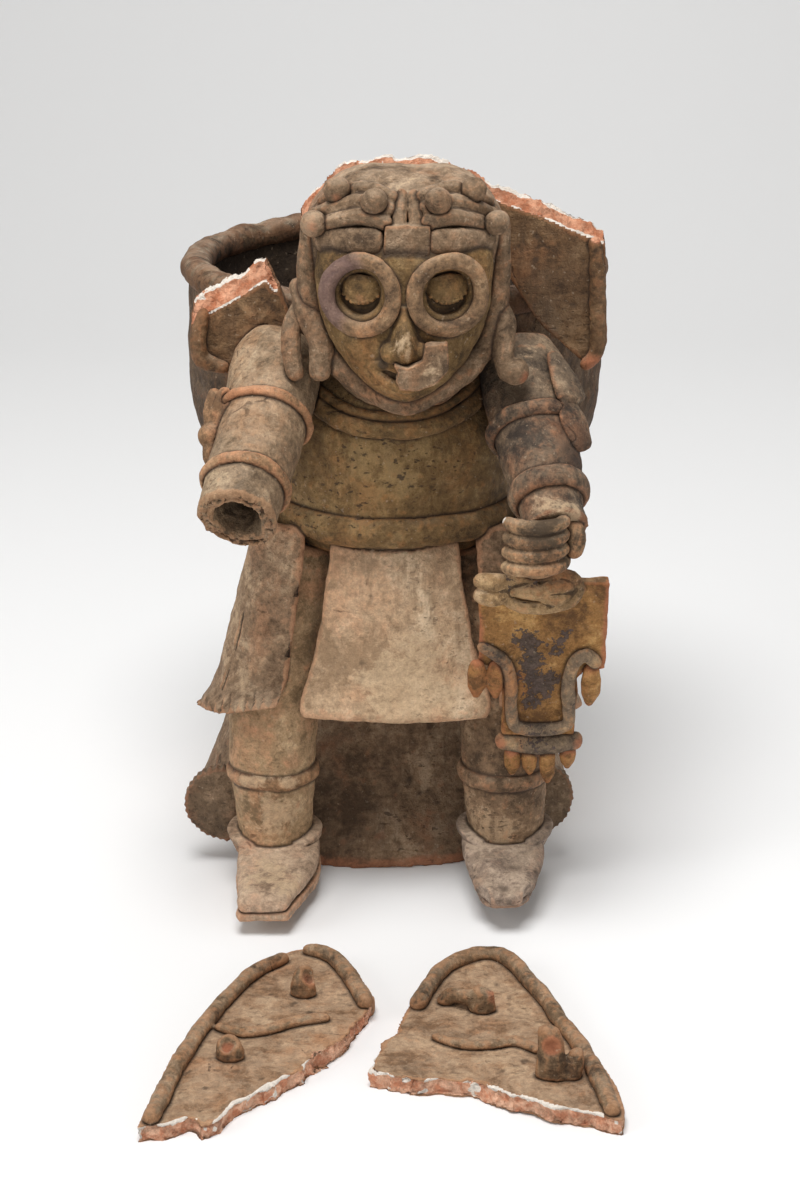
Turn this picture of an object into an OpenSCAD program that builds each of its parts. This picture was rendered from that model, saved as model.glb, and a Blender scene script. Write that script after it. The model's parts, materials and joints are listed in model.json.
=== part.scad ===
// Effigy incense burner of fired clay: an hourglass vessel with a goggled
// figure luted to its front, and two broken-off headdress pieces beside it.
// The vessel stands on the plane z = 0 about the Z axis; the figure faces -Y.
// "right" and "left" are the figure's own.

/* [Vessel] */
// Outer radius of the foot ring on the table
foot_r = 146; // [140:1:152]
// Lean of the bell to the figure's right in degrees
lean_side = 2; // [0:0.1:3]
// Lean of the bell to the front in degrees
lean_front = 3; // [0:0.1:3.4]
// Outer radius of the waist between the bell and the bowl
waist_r = 100; // [95:1:104]
// Outer radius of the bowl wall below its lip
bowl_r = 151; // [146:1:155]
// Height of the waist
waist_z = 205; // [198:1:212]
// Height of the bowl wall's top edge
bowl_z = 413; // [406:1:420]
// Wall thickness of the vessel
wall = 10; // [8:0.5:12]
// Thickness of the bowl's floor
floor_t = 12; // [9:0.5:16]
// Section radius of the pinched lip
lip_r = 10.5; // [8:0.5:11]
// Section radius of the nicked rosettes' disc
rosette_r = 29.5; // [26:0.5:31]
// Thickness of the rosettes
rosette_t = 9; // [6:0.5:11]

/* [Torso and dress] */
// Distance of the torso's axis in front of the vessel axis
torso_y = 112; // [108:1:116]
// Belly radius of the torso
belly_r = 87; // [83:1:90]
// Wall thickness of the hollow limbs and torso
limb_wall = 9; // [7:0.5:10]
// Section radius of the outer necklace coil
collar_r = 5.5; // [4.5:0.5:6.5]
// Section radius of the inner necklace coil
inner_collar_r = 4.5; // [3.5:0.5:5.5]
// Half height of the belt roll
belt_h = 11; // [9:0.5:13]
// Thickness of the apron
apron_t = 9; // [7:0.5:11]
// Half width of the apron at its hem
apron_w = 65; // [60:1:68]
// Thickness of the hip flaps
flap_t = 8; // [6:0.5:10]

/* [Arms] */
// Radius of the right arm at its thickest
right_arm_r = 29; // [27:0.5:31]
// Radius of the left arm at its thickest
left_arm_r = 28; // [26:0.5:29.5]
// Section radius of the upper arm bands
armband_r = 4; // [3:0.25:5]
// Section radius of the lower arm bands
wristband_r = 4.5; // [3.5:0.25:5.5]
// Radius of one finger coil
finger_r = 5.2; // [4.6:0.2:5.4]

/* [Bag] */
// Thickness of the bag plate
bag_t = 8; // [6:0.5:10]
// Backward slope of the bag in degrees
bag_tilt = 16; // [13:0.5:18]
// Section radius of the applied strip on the bag
strip_r = 4.5; // [3.5:0.25:5.5]
// Section radius of the bag's handle roll
handle_r = 6; // [5:0.25:7]

/* [Legs] */
// Radius of the calves
calf_r = 29; // [27:0.5:31]
// Section half height of the garter rolls
garter_r = 6.5; // [5:0.5:8]
// Wall of the anklet cuffs
cuff_t = 4; // [3:0.25:5]
// Height of the right sole above the table
right_foot_z = 12; // [8:0.5:16]
// Height of the left sole above the table
left_foot_z = 16; // [10:0.5:20]
// Thickness of the sandal soles
sole_t = 6; // [4:0.25:8]

/* [Head] */
// Sideways place of the head's middle
head_x = 7; // [4:0.5:9]
// Half width of the hood at its widest
hood_w = 66; // [62:0.5:69]
// Half width of the face
face_w = 56; // [52:0.5:58]
// Section radius of the strip round the face
frame_r = 7; // [5.5:0.25:8]
// Outer radius of the goggle rings
goggle_r = 28; // [26:0.5:29]
// Width of the goggle band
goggle_band = 12; // [11:0.5:13.5]
// Section radius of the headband cords
cord_r = 5; // [4:0.25:5.5]
// Radius of the ball knobs
knob_r = 8.5; // [7:0.25:9.5]

/* [Headdress] */
// Thickness of the headdress slabs
panel_t = 11; // [9:0.5:13]
// Section radius of the coils on the slab edges
rim_r = 5.5; // [4.5:0.25:6.5]
// Slope height of the slanting breaks
break_h = 9; // [5:0.5:12]

/* [Hidden] */

$fn = 48;
// Luting gap left between a piece and the surface it is pressed onto
lute = 0.2;
// Front plane of the headdress slabs
panel_y = -150;
// Clay colours
tan = [0.62, 0.50, 0.38];
dark = [0.30, 0.24, 0.19];
grey = [0.50, 0.43, 0.36];
pale = [0.74, 0.64, 0.50];
pink = [0.76, 0.52, 0.38];
ochre = [0.72, 0.55, 0.26];

// Curves and lofted clay forms

function unit(v) = v / norm(v);

function spline_at(p, i, t) =
    let (n = len(p) - 1)
    let (a = p[max(i - 1, 0)], b = p[i], c = p[i + 1], d = p[min(i + 2, n)])
    0.5 * (2 * b + (c - a) * t + (2 * a - 5 * b + 4 * c - d) * t * t + (3 * b - a - 3 * c + d) * t * t * t);

function spline(p, steps) =
    [for (i = [0 : len(p) - 2], k = [0 : steps - 1]) spline_at(p, i, k / steps), p[len(p) - 1]];

function mirror_x(p) = [for (q = p) [for (i = [0 : len(q) - 1]) i == 0 ? -q[0] : q[i]]];

function xyz(q) = [q[0], q[1], q[2]];

// Signed power that squares off a rounded section
function soft(v, e) = sign(v) * pow(abs(v), e);

// Rings of points joined into one skin; each ring is closed by a strip of faces
module loft(rings) {
    m = len(rings);
    n = len(rings[0]);
    skin = [for (i = [0 : m - 2], k = [0 : n - 1])
        [i * n + k, (i + 1) * n + k, (i + 1) * n + (k + 1) % n, i * n + (k + 1) % n]];
    h = floor(n / 2);
    first = [for (k = [0 : h - 2]) [k, k + 1, n - 2 - k, n - 1 - k]];
    last = [for (k = [0 : h - 2]) [for (j = [n - 1 - k, n - 2 - k, k + 1, k]) (m - 1) * n + j]];
    polyhedron([for (r = rings, q = r) q], concat(skin, first, last), convexity = 6);
}

function ring_at(c, t, up, rx, ry, sides) =
    let (u = unit(cross(t, up)), v = cross(u, t))
    [for (k = [0 : sides - 1]) c + rx * cos(360 * (k + 0.5) / sides) * u - ry * sin(360 * (k
        + 0.5) / sides) * v];

// Clay roll through points [x, y, z, radius]; flat thins it along the up direction
module roll(points, steps = 4, sides = 10, up = [0, 1, 0], flat = 1, round_ends = [70, 35]) {
    path = spline(points, steps);
    last = len(path) - 1;
    tan_at = [for (i = [0 : last]) unit(xyz(path[min(i + 1, last)]) - xyz(path[max(i - 1, 0)]))];
    start = [for (a = round_ends) let (q = path[0], r = q[3])
        ring_at(xyz(q) - tan_at[0] * r * min(flat, 1) * sin(a), tan_at[0],
            up, r * cos(a), r * flat * cos(a), sides)];
    body = [for (i = [0 : last])
        ring_at(xyz(path[i]), tan_at[i], up, path[i][3], path[i][3] * flat, sides)];
    end = [for (a = back(round_ends)) let (q = path[last], r = q[3])
        ring_at(xyz(q) + tan_at[last] * r * min(flat, 1) * sin(a), tan_at[last],
            up, r * cos(a), r * flat * cos(a), sides)];
    loft(concat(start, body, end));
}

// Turns a form built along +Z so that it runs from p towards q
module along(p, q) {
    d = q - p;
    translate(p) rotate([0, acos(d[2] / norm(d)), atan2(d[1], d[0])]) children();
}

// Vessel

function bell_r(z) = waist_r + (foot_r - waist_r) * pow(1 - z / waist_z, 1.8);
function bowl_out(z) = waist_r + (bowl_r - waist_r) * pow(sin(90 * min(1, (z - waist_z) / 125)), 1.3);
bell_line = [for (k = [0 : 10]) [bell_r(waist_z * k / 10), waist_z * k / 10]];
bowl_line = concat([for (k = [0 : 10]) [bowl_out(waist_z + 12.5 * k), waist_z + 12.5 * k]],
    [[bowl_r, bowl_z]]);
hollow_z = waist_z + floor_t;
hollow_line = concat([[bowl_out(hollow_z + 4) - wall - 12, hollow_z]],
    [for (k = [1 : 9]) let (z = hollow_z + 4 + 14 * (k - 1)) [bowl_out(z) - wall, z]],
    [[bowl_r - wall, bowl_z]]);
lip_c = [bowl_r - wall / 2, bowl_z + 2];

function back(p) = [for (i = [len(p) - 1 : -1 : 0]) p[i]];

// Bell profile run past both ends, for the level cuts at the table and the waist
bell_full = concat([for (k = [-1 : 9]) [bell_r(waist_z * k / 10), waist_z * k / 10]],
    [[waist_r, waist_z - 4], [waist_r, waist_z + 12]]);

module base_drum() color(dark) intersection() {
    translate([0, 0, waist_z]) rotate([-lean_front, lean_side, 0]) translate([0, 0, -waist_z])
        rotate_extrude($fn = 96)
        polygon(concat(bell_full, back([for (q = bell_full) [q[0] - wall, q[1]]])));
    translate([-250, -250, 0]) cube([500, 500, waist_z]);
}

module fire_bowl() color(tan) rotate_extrude($fn = 96)
    polygon(concat([[0, waist_z]], bowl_line, back(hollow_line), [[0, hollow_z]]));

module rim_coil() color(tan) rotate_extrude($fn = 96) difference() {
    translate(lip_c) circle(lip_r);
    translate([bowl_r - wall, bowl_z - 40]) square([wall, 40]);
}

// Outside of the whole vessel, grown by gap, for seating what is luted to it
module vessel_solid(gap) rotate_extrude($fn = 96) polygon(concat(
    [[0, -20], [foot_r + gap, -20]],
    [for (q = bell_line) [q[0] + gap, q[1]]],
    [for (q = bowl_line) if (q[1] > waist_z && q[1] < bowl_z - lip_r - 6) [q[0] + gap, q[1]]],
    [[bowl_r + gap, lip_c[1] - lip_r]],
    [for (a = [-60 : 15 : 90]) lip_c + (lip_r + gap + 0.1) * [cos(a), sin(a)]],
    [[0, lip_c[1] + lip_r + gap + 0.1]]));

module rosette(x, z) translate([x, -146, z]) rotate([90, 0, 0])
    linear_extrude(rosette_t, center = true)
    polygon([for (k = [0 : 71]) (rosette_r - (k % 2) * 2) * [cos(5 * k), sin(5 * k)]]);

module right_rosette() color(tan) difference() {
    rosette(-124, 47);
    right_leg_solid(lute);
    right_anklet_ring(lute);
    right_garter_ring(lute);
    right_foot_solid(lute);
}

module left_rosette() color(tan) difference() {
    rosette(101, 52);
    left_leg_solid(lute);
    left_anklet_ring(lute);
    left_garter_ring(lute);
    left_foot_solid(lute);
}

// Torso and dress

torso_line = spline([[belly_r - 15, 248], [belly_r - 5, 268], [belly_r, 298], [belly_r - 3, 332],
    [belly_r - 12, 356], [belly_r - 28, 375], [belly_r - 47, 387]], 3);

module torso_solid(gap) translate([0, -torso_y, 0]) rotate_extrude($fn = 72)
    polygon(concat([[0, 248 - gap]], [[torso_line[0][0] + gap, 248 - gap]],
        [for (q = torso_line) [q[0] + gap, q[1] + gap]], [[0, 387 + gap]]));

module torso() color(grey) difference() {
    torso_solid(0);
    translate([0, -torso_y, 0]) rotate_extrude($fn = 72) polygon(concat([[0, 248 + limb_wall]],
        [for (q = torso_line) if (q[1] > 248 + limb_wall && q[1] < 370) [q[0] - limb_wall, q[1]]],
        [[0, 372]]));
    vessel_solid(lute);
}

// Necklace ring lying on the slope of the chest
chest_tilt = 24;
module chest_ring(z, sunk, r, t)
    translate([0, r * cos(chest_tilt) - torso_y - belly_r + sunk, z + r * sin(chest_tilt)])
    rotate([chest_tilt, 0, 0]) rotate([0, 0, 193])
    rotate_extrude(angle = 154, $fn = 72) translate([r, 0]) circle(t, $fn = 24);
module collar_ring(gap) chest_ring(343, 3.7, belly_r - 21, collar_r + gap);

module collar() color(grey) difference() {
    collar_ring(0);
    vessel_solid(lute);
    torso_solid(lute);
    right_arm_solid(lute);
    left_arm_solid(lute);
}

module inner_collar() color(grey) difference() {
    chest_ring(349.5, 8.2, belly_r - 26, inner_collar_r);
    collar_ring(lute);
    vessel_solid(lute);
    torso_solid(lute);
    right_arm_solid(lute);
    left_arm_solid(lute);
    hood_solid(lute);
}

module belt_solid(gap) translate([0, -torso_y, 271]) rotate_extrude($fn = 72)
    translate([belly_r - 3, 0]) polygon([for (a = [0 : 15 : 345]) [(8 + gap) * cos(a),
        (belt_h + gap) * sin(a)]]);

module belt() color(grey) difference() {
    belt_solid(0);
    torso_solid(lute);
    vessel_solid(lute);
    right_arm_solid(lute);
    left_arm_solid(lute);
}

// Apron levels: height, half width, front plane
apron_line = spline([[272, 42, -187], [240, 45, -192], [200, 50, -198], [171, apron_w - 7, -205],
    [154, apron_w - 1, -211], [144, apron_w + 1, -216], [138, apron_w - 2, -215]], 2);

module apron_solid(gap) translate([1, 0, 0]) loft([for (q = apron_line) concat(
    [for (k = [0 : 8]) let (s = 1 - k / 4) [q[1] * s, q[2] - gap + 11 * s * s, q[0]]],
    [for (k = [0 : 8]) let (s = k / 4 - 1) [q[1] * s, q[2] + apron_t + gap + 11 * s * s, q[0]]])]);

module apron() color(pale) difference() {
    apron_solid(0);
    torso_solid(lute);
    belt_solid(lute);
    right_leg_solid(lute);
    left_leg_solid(lute);
    vessel_solid(lute);
}

// Flap levels: height, middle in x, radius, angle of the front edge
flap_line = spline([[268, 66, 30, -12], [235, 69, 35, -10], [195, 73, 42, -7], [160, 77, 48, -4],
    [146, 79, 52, -3], [137, 80, 57, -2], [131, 80, 58, -2]], 2);

// Rise of the hem at the front edge and its drop at the side
hem_rise = 16;
hem_drop = 10;

function flap_point(q, k, r) =
    let (a = q[3] + (105 - q[3]) * k / 9, share = (268 - q[0]) / 137)
    [-q[1] - r * sin(a), -148 - r * cos(a), q[0] + share * (hem_rise - (hem_rise + hem_drop) * k / 9)];

module flap_solid() loft([for (q = flap_line) concat(
    [for (k = [0 : 9]) flap_point(q, k, q[2])],
    [for (k = [9 : -1 : 0]) flap_point(q, k, q[2] - flap_t)])]);

module right_hip_flap() color(tan) difference() {
    flap_solid();
    torso_solid(lute);
    belt_solid(lute);
    apron_solid(lute);
    right_leg_solid(lute);
    right_arm_solid(lute);
    vessel_solid(lute);
}

module left_hip_flap() color(tan) difference() {
    translate([-4, 0, 0]) mirror([1, 0, 0]) flap_solid();
    torso_solid(lute);
    belt_solid(lute);
    apron_solid(lute);
    left_leg_solid(lute);
    bag_plate_solid(lute);
    vessel_solid(lute);
}

// Arms

right_shoulder = [-79, -148, 382];
right_end = [-102, -271, 301];
left_shoulder = [87, -146, 379];
left_end = [107, -249, 290];

// Arm outline: radius against distance from the shoulder
function arm_line(r, l, thin) = spline([[r - 5, -8], [r + 1, 10], [r + 1, 32], [r, 60],
    [r - 1 - 0.4 * thin, l - 44], [r - 3 - 0.8 * thin, l - 24], [r - 3.5 - thin, l - 12],
    [r - 2 - thin, l]], 2);

module arm_solid(p, q, r, thin, gap) along(p, q) rotate_extrude($fn = 48) polygon(concat(
    [[0, -14 - gap], [r - 18, -12 - gap]],
    [for (s = arm_line(r, norm(q - p), thin)) [s[0] + gap, s[1]]], [[0, norm(q - p)]]));

module arm_bore(p, q, r) along(p, q) rotate_extrude($fn = 48) polygon(concat(
    [[0, 26]],
    [for (s = arm_line(r, norm(q - p), 0)) if (s[1] > 30) [s[0] - limb_wall - 0.5, s[1]]],
    [[r - 2.5 - limb_wall, norm(q - p) + 5], [0, norm(q - p) + 5]]));

// Loss of radius from the left upper arm to its wrist
wrist_thin = 3.5;

module right_arm_solid(gap) arm_solid(right_shoulder, right_end, right_arm_r, 0, gap);
module left_arm_solid(gap) arm_solid(left_shoulder, left_end, left_arm_r, wrist_thin, gap);

module right_arm() color(tan) difference() {
    right_arm_solid(0);
    arm_bore(right_shoulder, right_end, right_arm_r);
    torso_solid(lute);
    vessel_solid(lute);
}

module left_arm() color(tan) difference() {
    left_arm_solid(0);
    torso_solid(lute);
    vessel_solid(lute);
}

// Coil round an arm at a distance from the shoulder
module arm_ring(p, q, s, r, t, tall) along(p, q) translate([0, 0, s]) rotate_extrude($fn = 48)
    translate([r, 0]) polygon([for (a = [0 : 20 : 340]) [t * cos(a), tall * sin(a)]]);

// Half height of the four arm bands
right_upper_h = 4;
right_lower_h = 5;
left_upper_h = 6;
left_wrist_h = 8;

module right_upper_ring(gap)
    arm_ring(right_shoulder, right_end, 58, right_arm_r + 0.5, armband_r + gap, right_upper_h + gap);
module right_lower_ring(gap)
    arm_ring(right_shoulder, right_end, 116, right_arm_r - 2.5, wristband_r + gap, right_lower_h + gap);
module left_upper_ring(gap)
    arm_ring(left_shoulder, left_end, 58, left_arm_r, armband_r + 1 + gap, left_upper_h + gap);
module left_wrist_ring(gap)
    arm_ring(left_shoulder, left_end, 109, left_arm_r - 2.5 - 0.6 * wrist_thin, wristband_r + 0.5 + gap,
        left_wrist_h + gap);

module right_upper_band() color(pink) difference() {
    right_upper_ring(0);
    right_arm_solid(lute);
    torso_solid(lute);
    collar_ring(lute);
}

module right_lower_band() color(pink) difference() {
    right_lower_ring(0);
    right_arm_solid(lute);
}

module left_upper_band() color(pink) difference() {
    left_upper_ring(0);
    left_arm_solid(lute);
    torso_solid(lute);
    collar_ring(lute);
}

module left_wrist_band() color(pink) difference() {
    left_wrist_ring(0);
    left_arm_solid(lute);
}

module tassel_knot(gap) translate([-123, -208, 343]) rotate([0, -90, 0]) sphere(9 + gap, $fn = 24);

module right_arm_tassel() color(tan) difference() {
    union() {
        for (k = [-1 : 1])
            roll([[-114 - 7 * k, -198 + 5 * k, 370 - 2 * abs(k), 4.5],
                [-117 - 6 * k, -203 + 4 * k, 358, 5.5],
                [-121 - 2 * k, -207 + 2 * k, 345, 4.5]], 3, 8);
        tassel_knot(0);
        roll([[-121, -210, 338, 8], [-120, -213, 328, 8.5], [-119, -215, 319, 4]], 3, 8);
    }
    right_arm_solid(lute);
    right_upper_ring(lute);
}

module left_arm_tassel() color(tan) difference() {
    union() {
        roll([[108, -178, 391, 6], [115, -187, 378, 12], [120, -195, 366, 14]],
            3, 12, [0.7, -0.6, 0.4], 0.36);
        roll([[115, -200, 364, 9], [121, -207, 350, 13], [125, -211, 337, 12]],
            3, 12, [0.7, -0.6, 0.4], 0.36);
    }
    left_arm_solid(lute);
    left_upper_ring(lute);
}

// Hand and bag

module palm_solid(gap) {
    roll([[98, -253, 287, 16 + gap], [97, -256, 280, 16.5 + gap], [95, -256, 271, 14 + gap]],
        3, 14, [0, 1, 0], 0.85);
    roll([[117, -250, 297, 5.5 + gap], [121, -256, 288, 6 + gap], [119, -260, 278, 5 + gap]],
        3, 10, [1, 0, 0]);
}

module left_hand() color(tan) difference() {
    palm_solid(0);
    left_arm_solid(lute);
    left_wrist_ring(lute);
}

// One finger wrapped round the handle from the back of the hand
module finger(z, gap) roll([[75, -262, z - 0.5, finger_r - 0.6 + gap], [82, -272, z, finger_r + gap],
    [96, -275, z, finger_r + gap], [109, -269, z + 1, finger_r + gap],
    [112, -258, z + 1, finger_r - 0.6 + gap]], 3, 8, [0, 0, 1], 0.92);

finger_z = [299.5, 289.7, 280, 270.3];

module left_fingers() color(tan) difference() {
    for (z = finger_z) finger(z, 0);
    palm_solid(lute);
    left_arm_solid(lute);
    left_wrist_ring(lute);
}

// Handle: an oval loop tied over a knot of three lobes, and a folded tab at the bag's corner
module handle_solid(gap) {
    roll([[74, -252, 249, 4 + gap], [79, -254, 258, 4.5 + gap], [99, -256, 262, 4.5 + gap],
        [118, -254, 258, 4.5 + gap], [124, -252, 249, 4 + gap]], 3, 10, [0, 1, 0]);
    roll([[74.3, -252, 250, 3.9 + gap], [79, -253, 241, 4.5 + gap], [99, -254, 237, 4.5 + gap],
        [118, -253, 241, 4.5 + gap], [123.7, -252, 250, 3.9 + gap]], 3, 10, [0, 1, 0]);
    roll([[82, -255, 250, handle_r - 2 + gap], [92, -257, 250.5, handle_r + gap],
        [103, -256, 249, handle_r - 1 + gap]], 3, 10, [0, 1, 0]);
    roll([[98, -256, 252, handle_r - 2 + gap], [108, -258, 254, handle_r - 0.5 + gap],
        [117, -255, 252, handle_r - 2 + gap]], 3, 10, [0, 1, 0]);
    roll([[99, -256, 246, handle_r - 2.5 + gap], [108, -257, 244.5, handle_r - 1 + gap],
        [116, -254, 246, handle_r - 2.5 + gap]], 3, 10, [0, 1, 0]);
    for (z = [256.5, 245.5])
        roll([[59, -253, z, 5.5 + gap], [66, -256, z, 6.5 + gap], [74, -253, z, 5.5 + gap]],
            3, 10, [0, 1, 0]);
}

module bag_handle() color(ochre) difference() {
    handle_solid(0);
    palm_solid(lute);
    for (z = finger_z) finger(z, lute);
    bag_plate_solid(lute);
}

// The bag hangs in a plane sloping back from the handle to the left shin
module bag_frame() translate([100, -252, 260]) rotate([bag_tilt, 0, 0]) children();

bag_outline = [[-42, -8], [44, -8], [43, -80], [29, -82], [25, -88], [25, -136],
    [-25, -136], [-25, -86], [-28, -78], [-42, -74]];

module bag_plate_solid(gap) bag_frame() translate([0, bag_t / 2, 0]) rotate([90, 0, 0])
    linear_extrude(bag_t + 2 * gap, center = true) polygon(bag_outline);

module bag_plate() color(ochre) difference() {
    bag_plate_solid(0);
    palm_solid(lute);
    left_leg_solid(lute);
}

module strip_solid(gap) bag_frame() roll([[-40, -2, -59, strip_r - 1 + gap],
    [-33, -2, -63, strip_r + gap], [-23, -2, -72, strip_r + gap], [-19, -2, -92, strip_r + gap],
    [-19, -2, -117, strip_r + gap], [-15, -2, -127, strip_r + gap], [2, -2, -129, strip_r + gap],
    [19, -2, -126, strip_r + gap], [20, -2, -112, strip_r + gap],
    [19, -2, -90, strip_r + gap], [22, -2, -72, strip_r + gap], [30, -2, -65, strip_r + gap],
    [36, -2, -72, strip_r + gap]], 3, 8, [0, 1, 0]);

module bag_strip() color(ochre) difference() {
    strip_solid(0);
    bag_plate_solid(lute);
}

module band_solid(gap) bag_frame() roll([[-24, 2, -143, 6.5 + gap], [0, 1, -144, 7 + gap],
    [26, 2, -142, 6.5 + gap]],
    3, 10, [0, 1, 0], 0.8);

module bag_band() color(ochre) difference() {
    band_solid(0);
    bag_plate_solid(lute);
    strip_solid(lute);
    left_leg_solid(lute);
}

module drop(x, y, z, r, l) roll([[x, y, z, r * 0.8], [x, y, z - l * 0.35, r], [x, y, z - l * 0.7, r * 0.9],
    [x, y, z - l, r * 0.4]], 1, 8, [0, 1, 0], 0.8);

module bag_tassels() color(ochre) difference() {
    bag_frame() {
        drop(-43, -2, -74, 7, 25);
        drop(-30, -2, -74, 6.5, 26);
        drop(34, -2, -78, 7, 29);
        drop(-18, 1, -148, 6, 22);
        drop(-6, 0, -149, 5.5, 20);
        drop(7, 0, -149, 6, 28);
        drop(21, 1, -146, 6, 18);
    }
    bag_plate_solid(lute);
    strip_solid(lute);
    band_solid(lute);
    left_garter_ring(lute);
}

// Legs

right_leg_line = [[-86, -178, 30, calf_r - 5], [-86, -176, 60, calf_r - 3], [-86, -173, 100, calf_r],
    [-85, -165, 140, calf_r + 1], [-79, -152, 185, calf_r], [-71, -142, 226, calf_r - 2],
    [-67, -138, 244, calf_r - 3]];
left_leg_line = [[79, -178, 34, calf_r - 5], [79, -176, 60, calf_r - 3], [78, -173, 100, calf_r - 1],
    [77, -165, 140, calf_r], [72, -152, 185, calf_r - 1], [65, -142, 226, calf_r - 3],
    [61, -138, 244, calf_r - 4]];

function grow(p, gap) = [for (q = p) [q[0], q[1], q[2], q[3] + gap]];

module right_leg_solid(gap) roll(grow(right_leg_line, gap), 2, 18, [0, 1, 0], 1, []);
module left_leg_solid(gap) roll(grow(left_leg_line, gap), 2, 18, [0, 1, 0], 1, []);

// Hollow of a leg, open to the back above the hip
module leg_bore(s) roll([for (q = [[86, -176, 60, -3], [86, -173, 100, 0], [85, -162, 140, 1],
        [78, -138, 185, 0], [65, -104, 228, -2], [55, -79, 253, -2]])
    [s * q[0], q[1], q[2], calf_r - limb_wall + q[3]]], 2, 10, [0, 1, 0]);

module right_leg() color(tan) difference() {
    right_leg_solid(0);
    leg_bore(-1);
    vessel_solid(lute);
    torso_solid(lute);
}

module left_leg() color(tan) difference() {
    left_leg_solid(0);
    translate([-7, 0, 0]) leg_bore(1);
    vessel_solid(lute);
    torso_solid(lute);
}

module garter_ring(x, gap) translate([x, -174, 87]) rotate_extrude($fn = 48) translate([calf_r - 2.4, 0])
    polygon([for (a = [10 : 20 : 350]) [(5.8 + gap) * cos(a), (garter_r + gap) * sin(a)]]);
module right_garter_ring(gap) garter_ring(-86, gap);
module left_garter_ring(gap) garter_ring(78, gap);

module right_garter() color(pink) difference() {
    right_garter_ring(0);
    right_leg_solid(lute);
}

module left_garter() color(pink) difference() {
    left_garter_ring(0);
    left_leg_solid(lute);
}

// Heel cuff, open over the instep, its front edges sloping down to the toes
module anklet_ring(x, z, gap) difference() {
    translate([x, -178, z]) rotate([0, 0, -58]) rotate_extrude(angle = 296, $fn = 48)
        polygon([[8, -gap], [calf_r - 1 + gap, -gap], [calf_r + cuff_t + gap, 14],
            [calf_r + 1 + cuff_t + gap, 26], [calf_r + cuff_t + gap, 29 + gap], [8, 29 + gap]]);
    translate([x - 60, -210, z + 12 + gap]) rotate([38, 0, 0]) translate([0, -40, 0]) cube([120, 140, 60]);
}
module right_anklet_ring(gap) anklet_ring(-86, right_foot_z + 13, gap);
module left_anklet_ring(gap) anklet_ring(79, left_foot_z + 13, gap);

module right_anklet() color(tan) difference() {
    right_anklet_ring(0);
    right_leg_solid(lute);
    right_foot_solid(lute);
}

module left_anklet() color(tan) difference() {
    left_anklet_ring(0);
    left_leg_solid(lute);
    left_foot_solid(lute);
}

// Foot stations: distance forward, middle, half width, top height above the sole
right_foot_line = spline([[-150, -84, calf_r - 12, 14], [-160, -84, calf_r - 4, 20],
    [-184, -83, calf_r - 1, 24], [-208, -83, calf_r - 1, 20], [-228, -86, calf_r - 5, 14],
        [-248, -89, 20, 12], [-262, -91, 18, 11], [-268, -91, 16, 7]], 2);
left_foot_line = spline([[-150, 77, calf_r - 12, 14], [-160, 77, calf_r - 4, 20],
    [-184, 77, calf_r - 1, 24], [-208, 78, calf_r - 2, 19], [-228, 78, calf_r - 5, 13],
        [-248, 77, 20, 11], [-260, 77, 14, 9], [-265, 77, 8, 5]], 2);

module foot(line, z, gap) loft([for (q = line) [for (k = [0 : 15]) let (a = 22.5 * (k + 0.5))
    [q[1] + (q[2] + gap) * soft(cos(a), 0.75), q[0], z + q[3] / 2 + (q[3] / 2 + gap) * soft(sin(a),
        0.6)]]]);

module right_foot_solid(gap) foot(right_foot_line, right_foot_z + sole_t + lute, gap);
module left_foot_solid(gap) foot(left_foot_line, left_foot_z + sole_t + lute, gap);

module right_foot() color(pink) difference() {
    right_foot_solid(0);
    right_leg_solid(lute);
}

module left_foot() color(pink) difference() {
    left_foot_solid(0);
    left_leg_solid(lute);
}

// Sole cut to the outline of the foot above it
module sole(line, z) translate([0, 0, z]) linear_extrude(sole_t) polygon(concat(
    [for (q = line) [q[1] - q[2] - 1, q[0]]], back([for (q = line) [q[1] + q[2] + 1, q[0]]])));

module right_sole() color(tan) sole(right_foot_line, right_foot_z);
module left_sole() color(tan) sole(left_foot_line, left_foot_z);

// Head

// Hood levels: height, half width, front plane
hood_line = spline([[360, 30, -194], [372, 45, -199], [390, hood_w - 10, -203], [412, hood_w - 4, -205],
    [438, hood_w - 1, -206], [460, hood_w, -209], [475, hood_w, -214], [487, hood_w - 3, -213],
    [497, hood_w - 9, -207], [505, hood_w - 17, -197], [511, hood_w - 27, -183],
        [514, hood_w - 38, -170]], 2);

module hood_solid(gap) translate([head_x, 0, 0]) loft([for (q = hood_line)
    [for (k = [0 : 27]) let (a = 360 * (k + 0.5) / 28)
        [(q[1] + gap) * soft(cos(a), 0.75),
         sin(a) < 0 ? -168 + (q[2] + 168 - gap) * soft(-sin(a), 0.75) : -168 + 30 * soft(sin(a), 0.4),
         q[0] + (q[0] < 370 ? -gap : q[0] > 505 ? gap : 0)]]]);

// Inside of the head, open to the back
module hood_hollow() translate([head_x, 0, 0]) loft([for (q = [[380, 28, -178], [396, hood_w - 22, -190],
        [440, hood_w - 14, -192], [470, hood_w - 14, -196], [494, hood_w - 24, -186]])
    [for (k = [0 : 15]) let (a = 22.5 * (k + 0.5))
        [q[1] * soft(cos(a), 0.75), sin(a) < 0 ? -160 + (q[2] + 160) * soft(-sin(a),
            0.75) : -160 + 30 * soft(sin(a), 0.4),
         q[0]]]]);

module hood() color(grey) difference() {
    hood_solid(0);
    hood_hollow();
    translate([-150, panel_y - lute, 300]) cube([300, 60, 300]);
    vessel_solid(lute);
    torso_solid(lute);
    right_arm_solid(lute);
    left_arm_solid(lute);
}

// Face levels: height, half width, front plane
face_line = spline([[372, 12, -224], [378, 24, -230], [388, 35, -233.5], [402, 45, -235],
    [418, face_w - 4, -235],
    [440, face_w, -234], [462, face_w, -231], [477, face_w - 2, -225]], 2);

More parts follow.
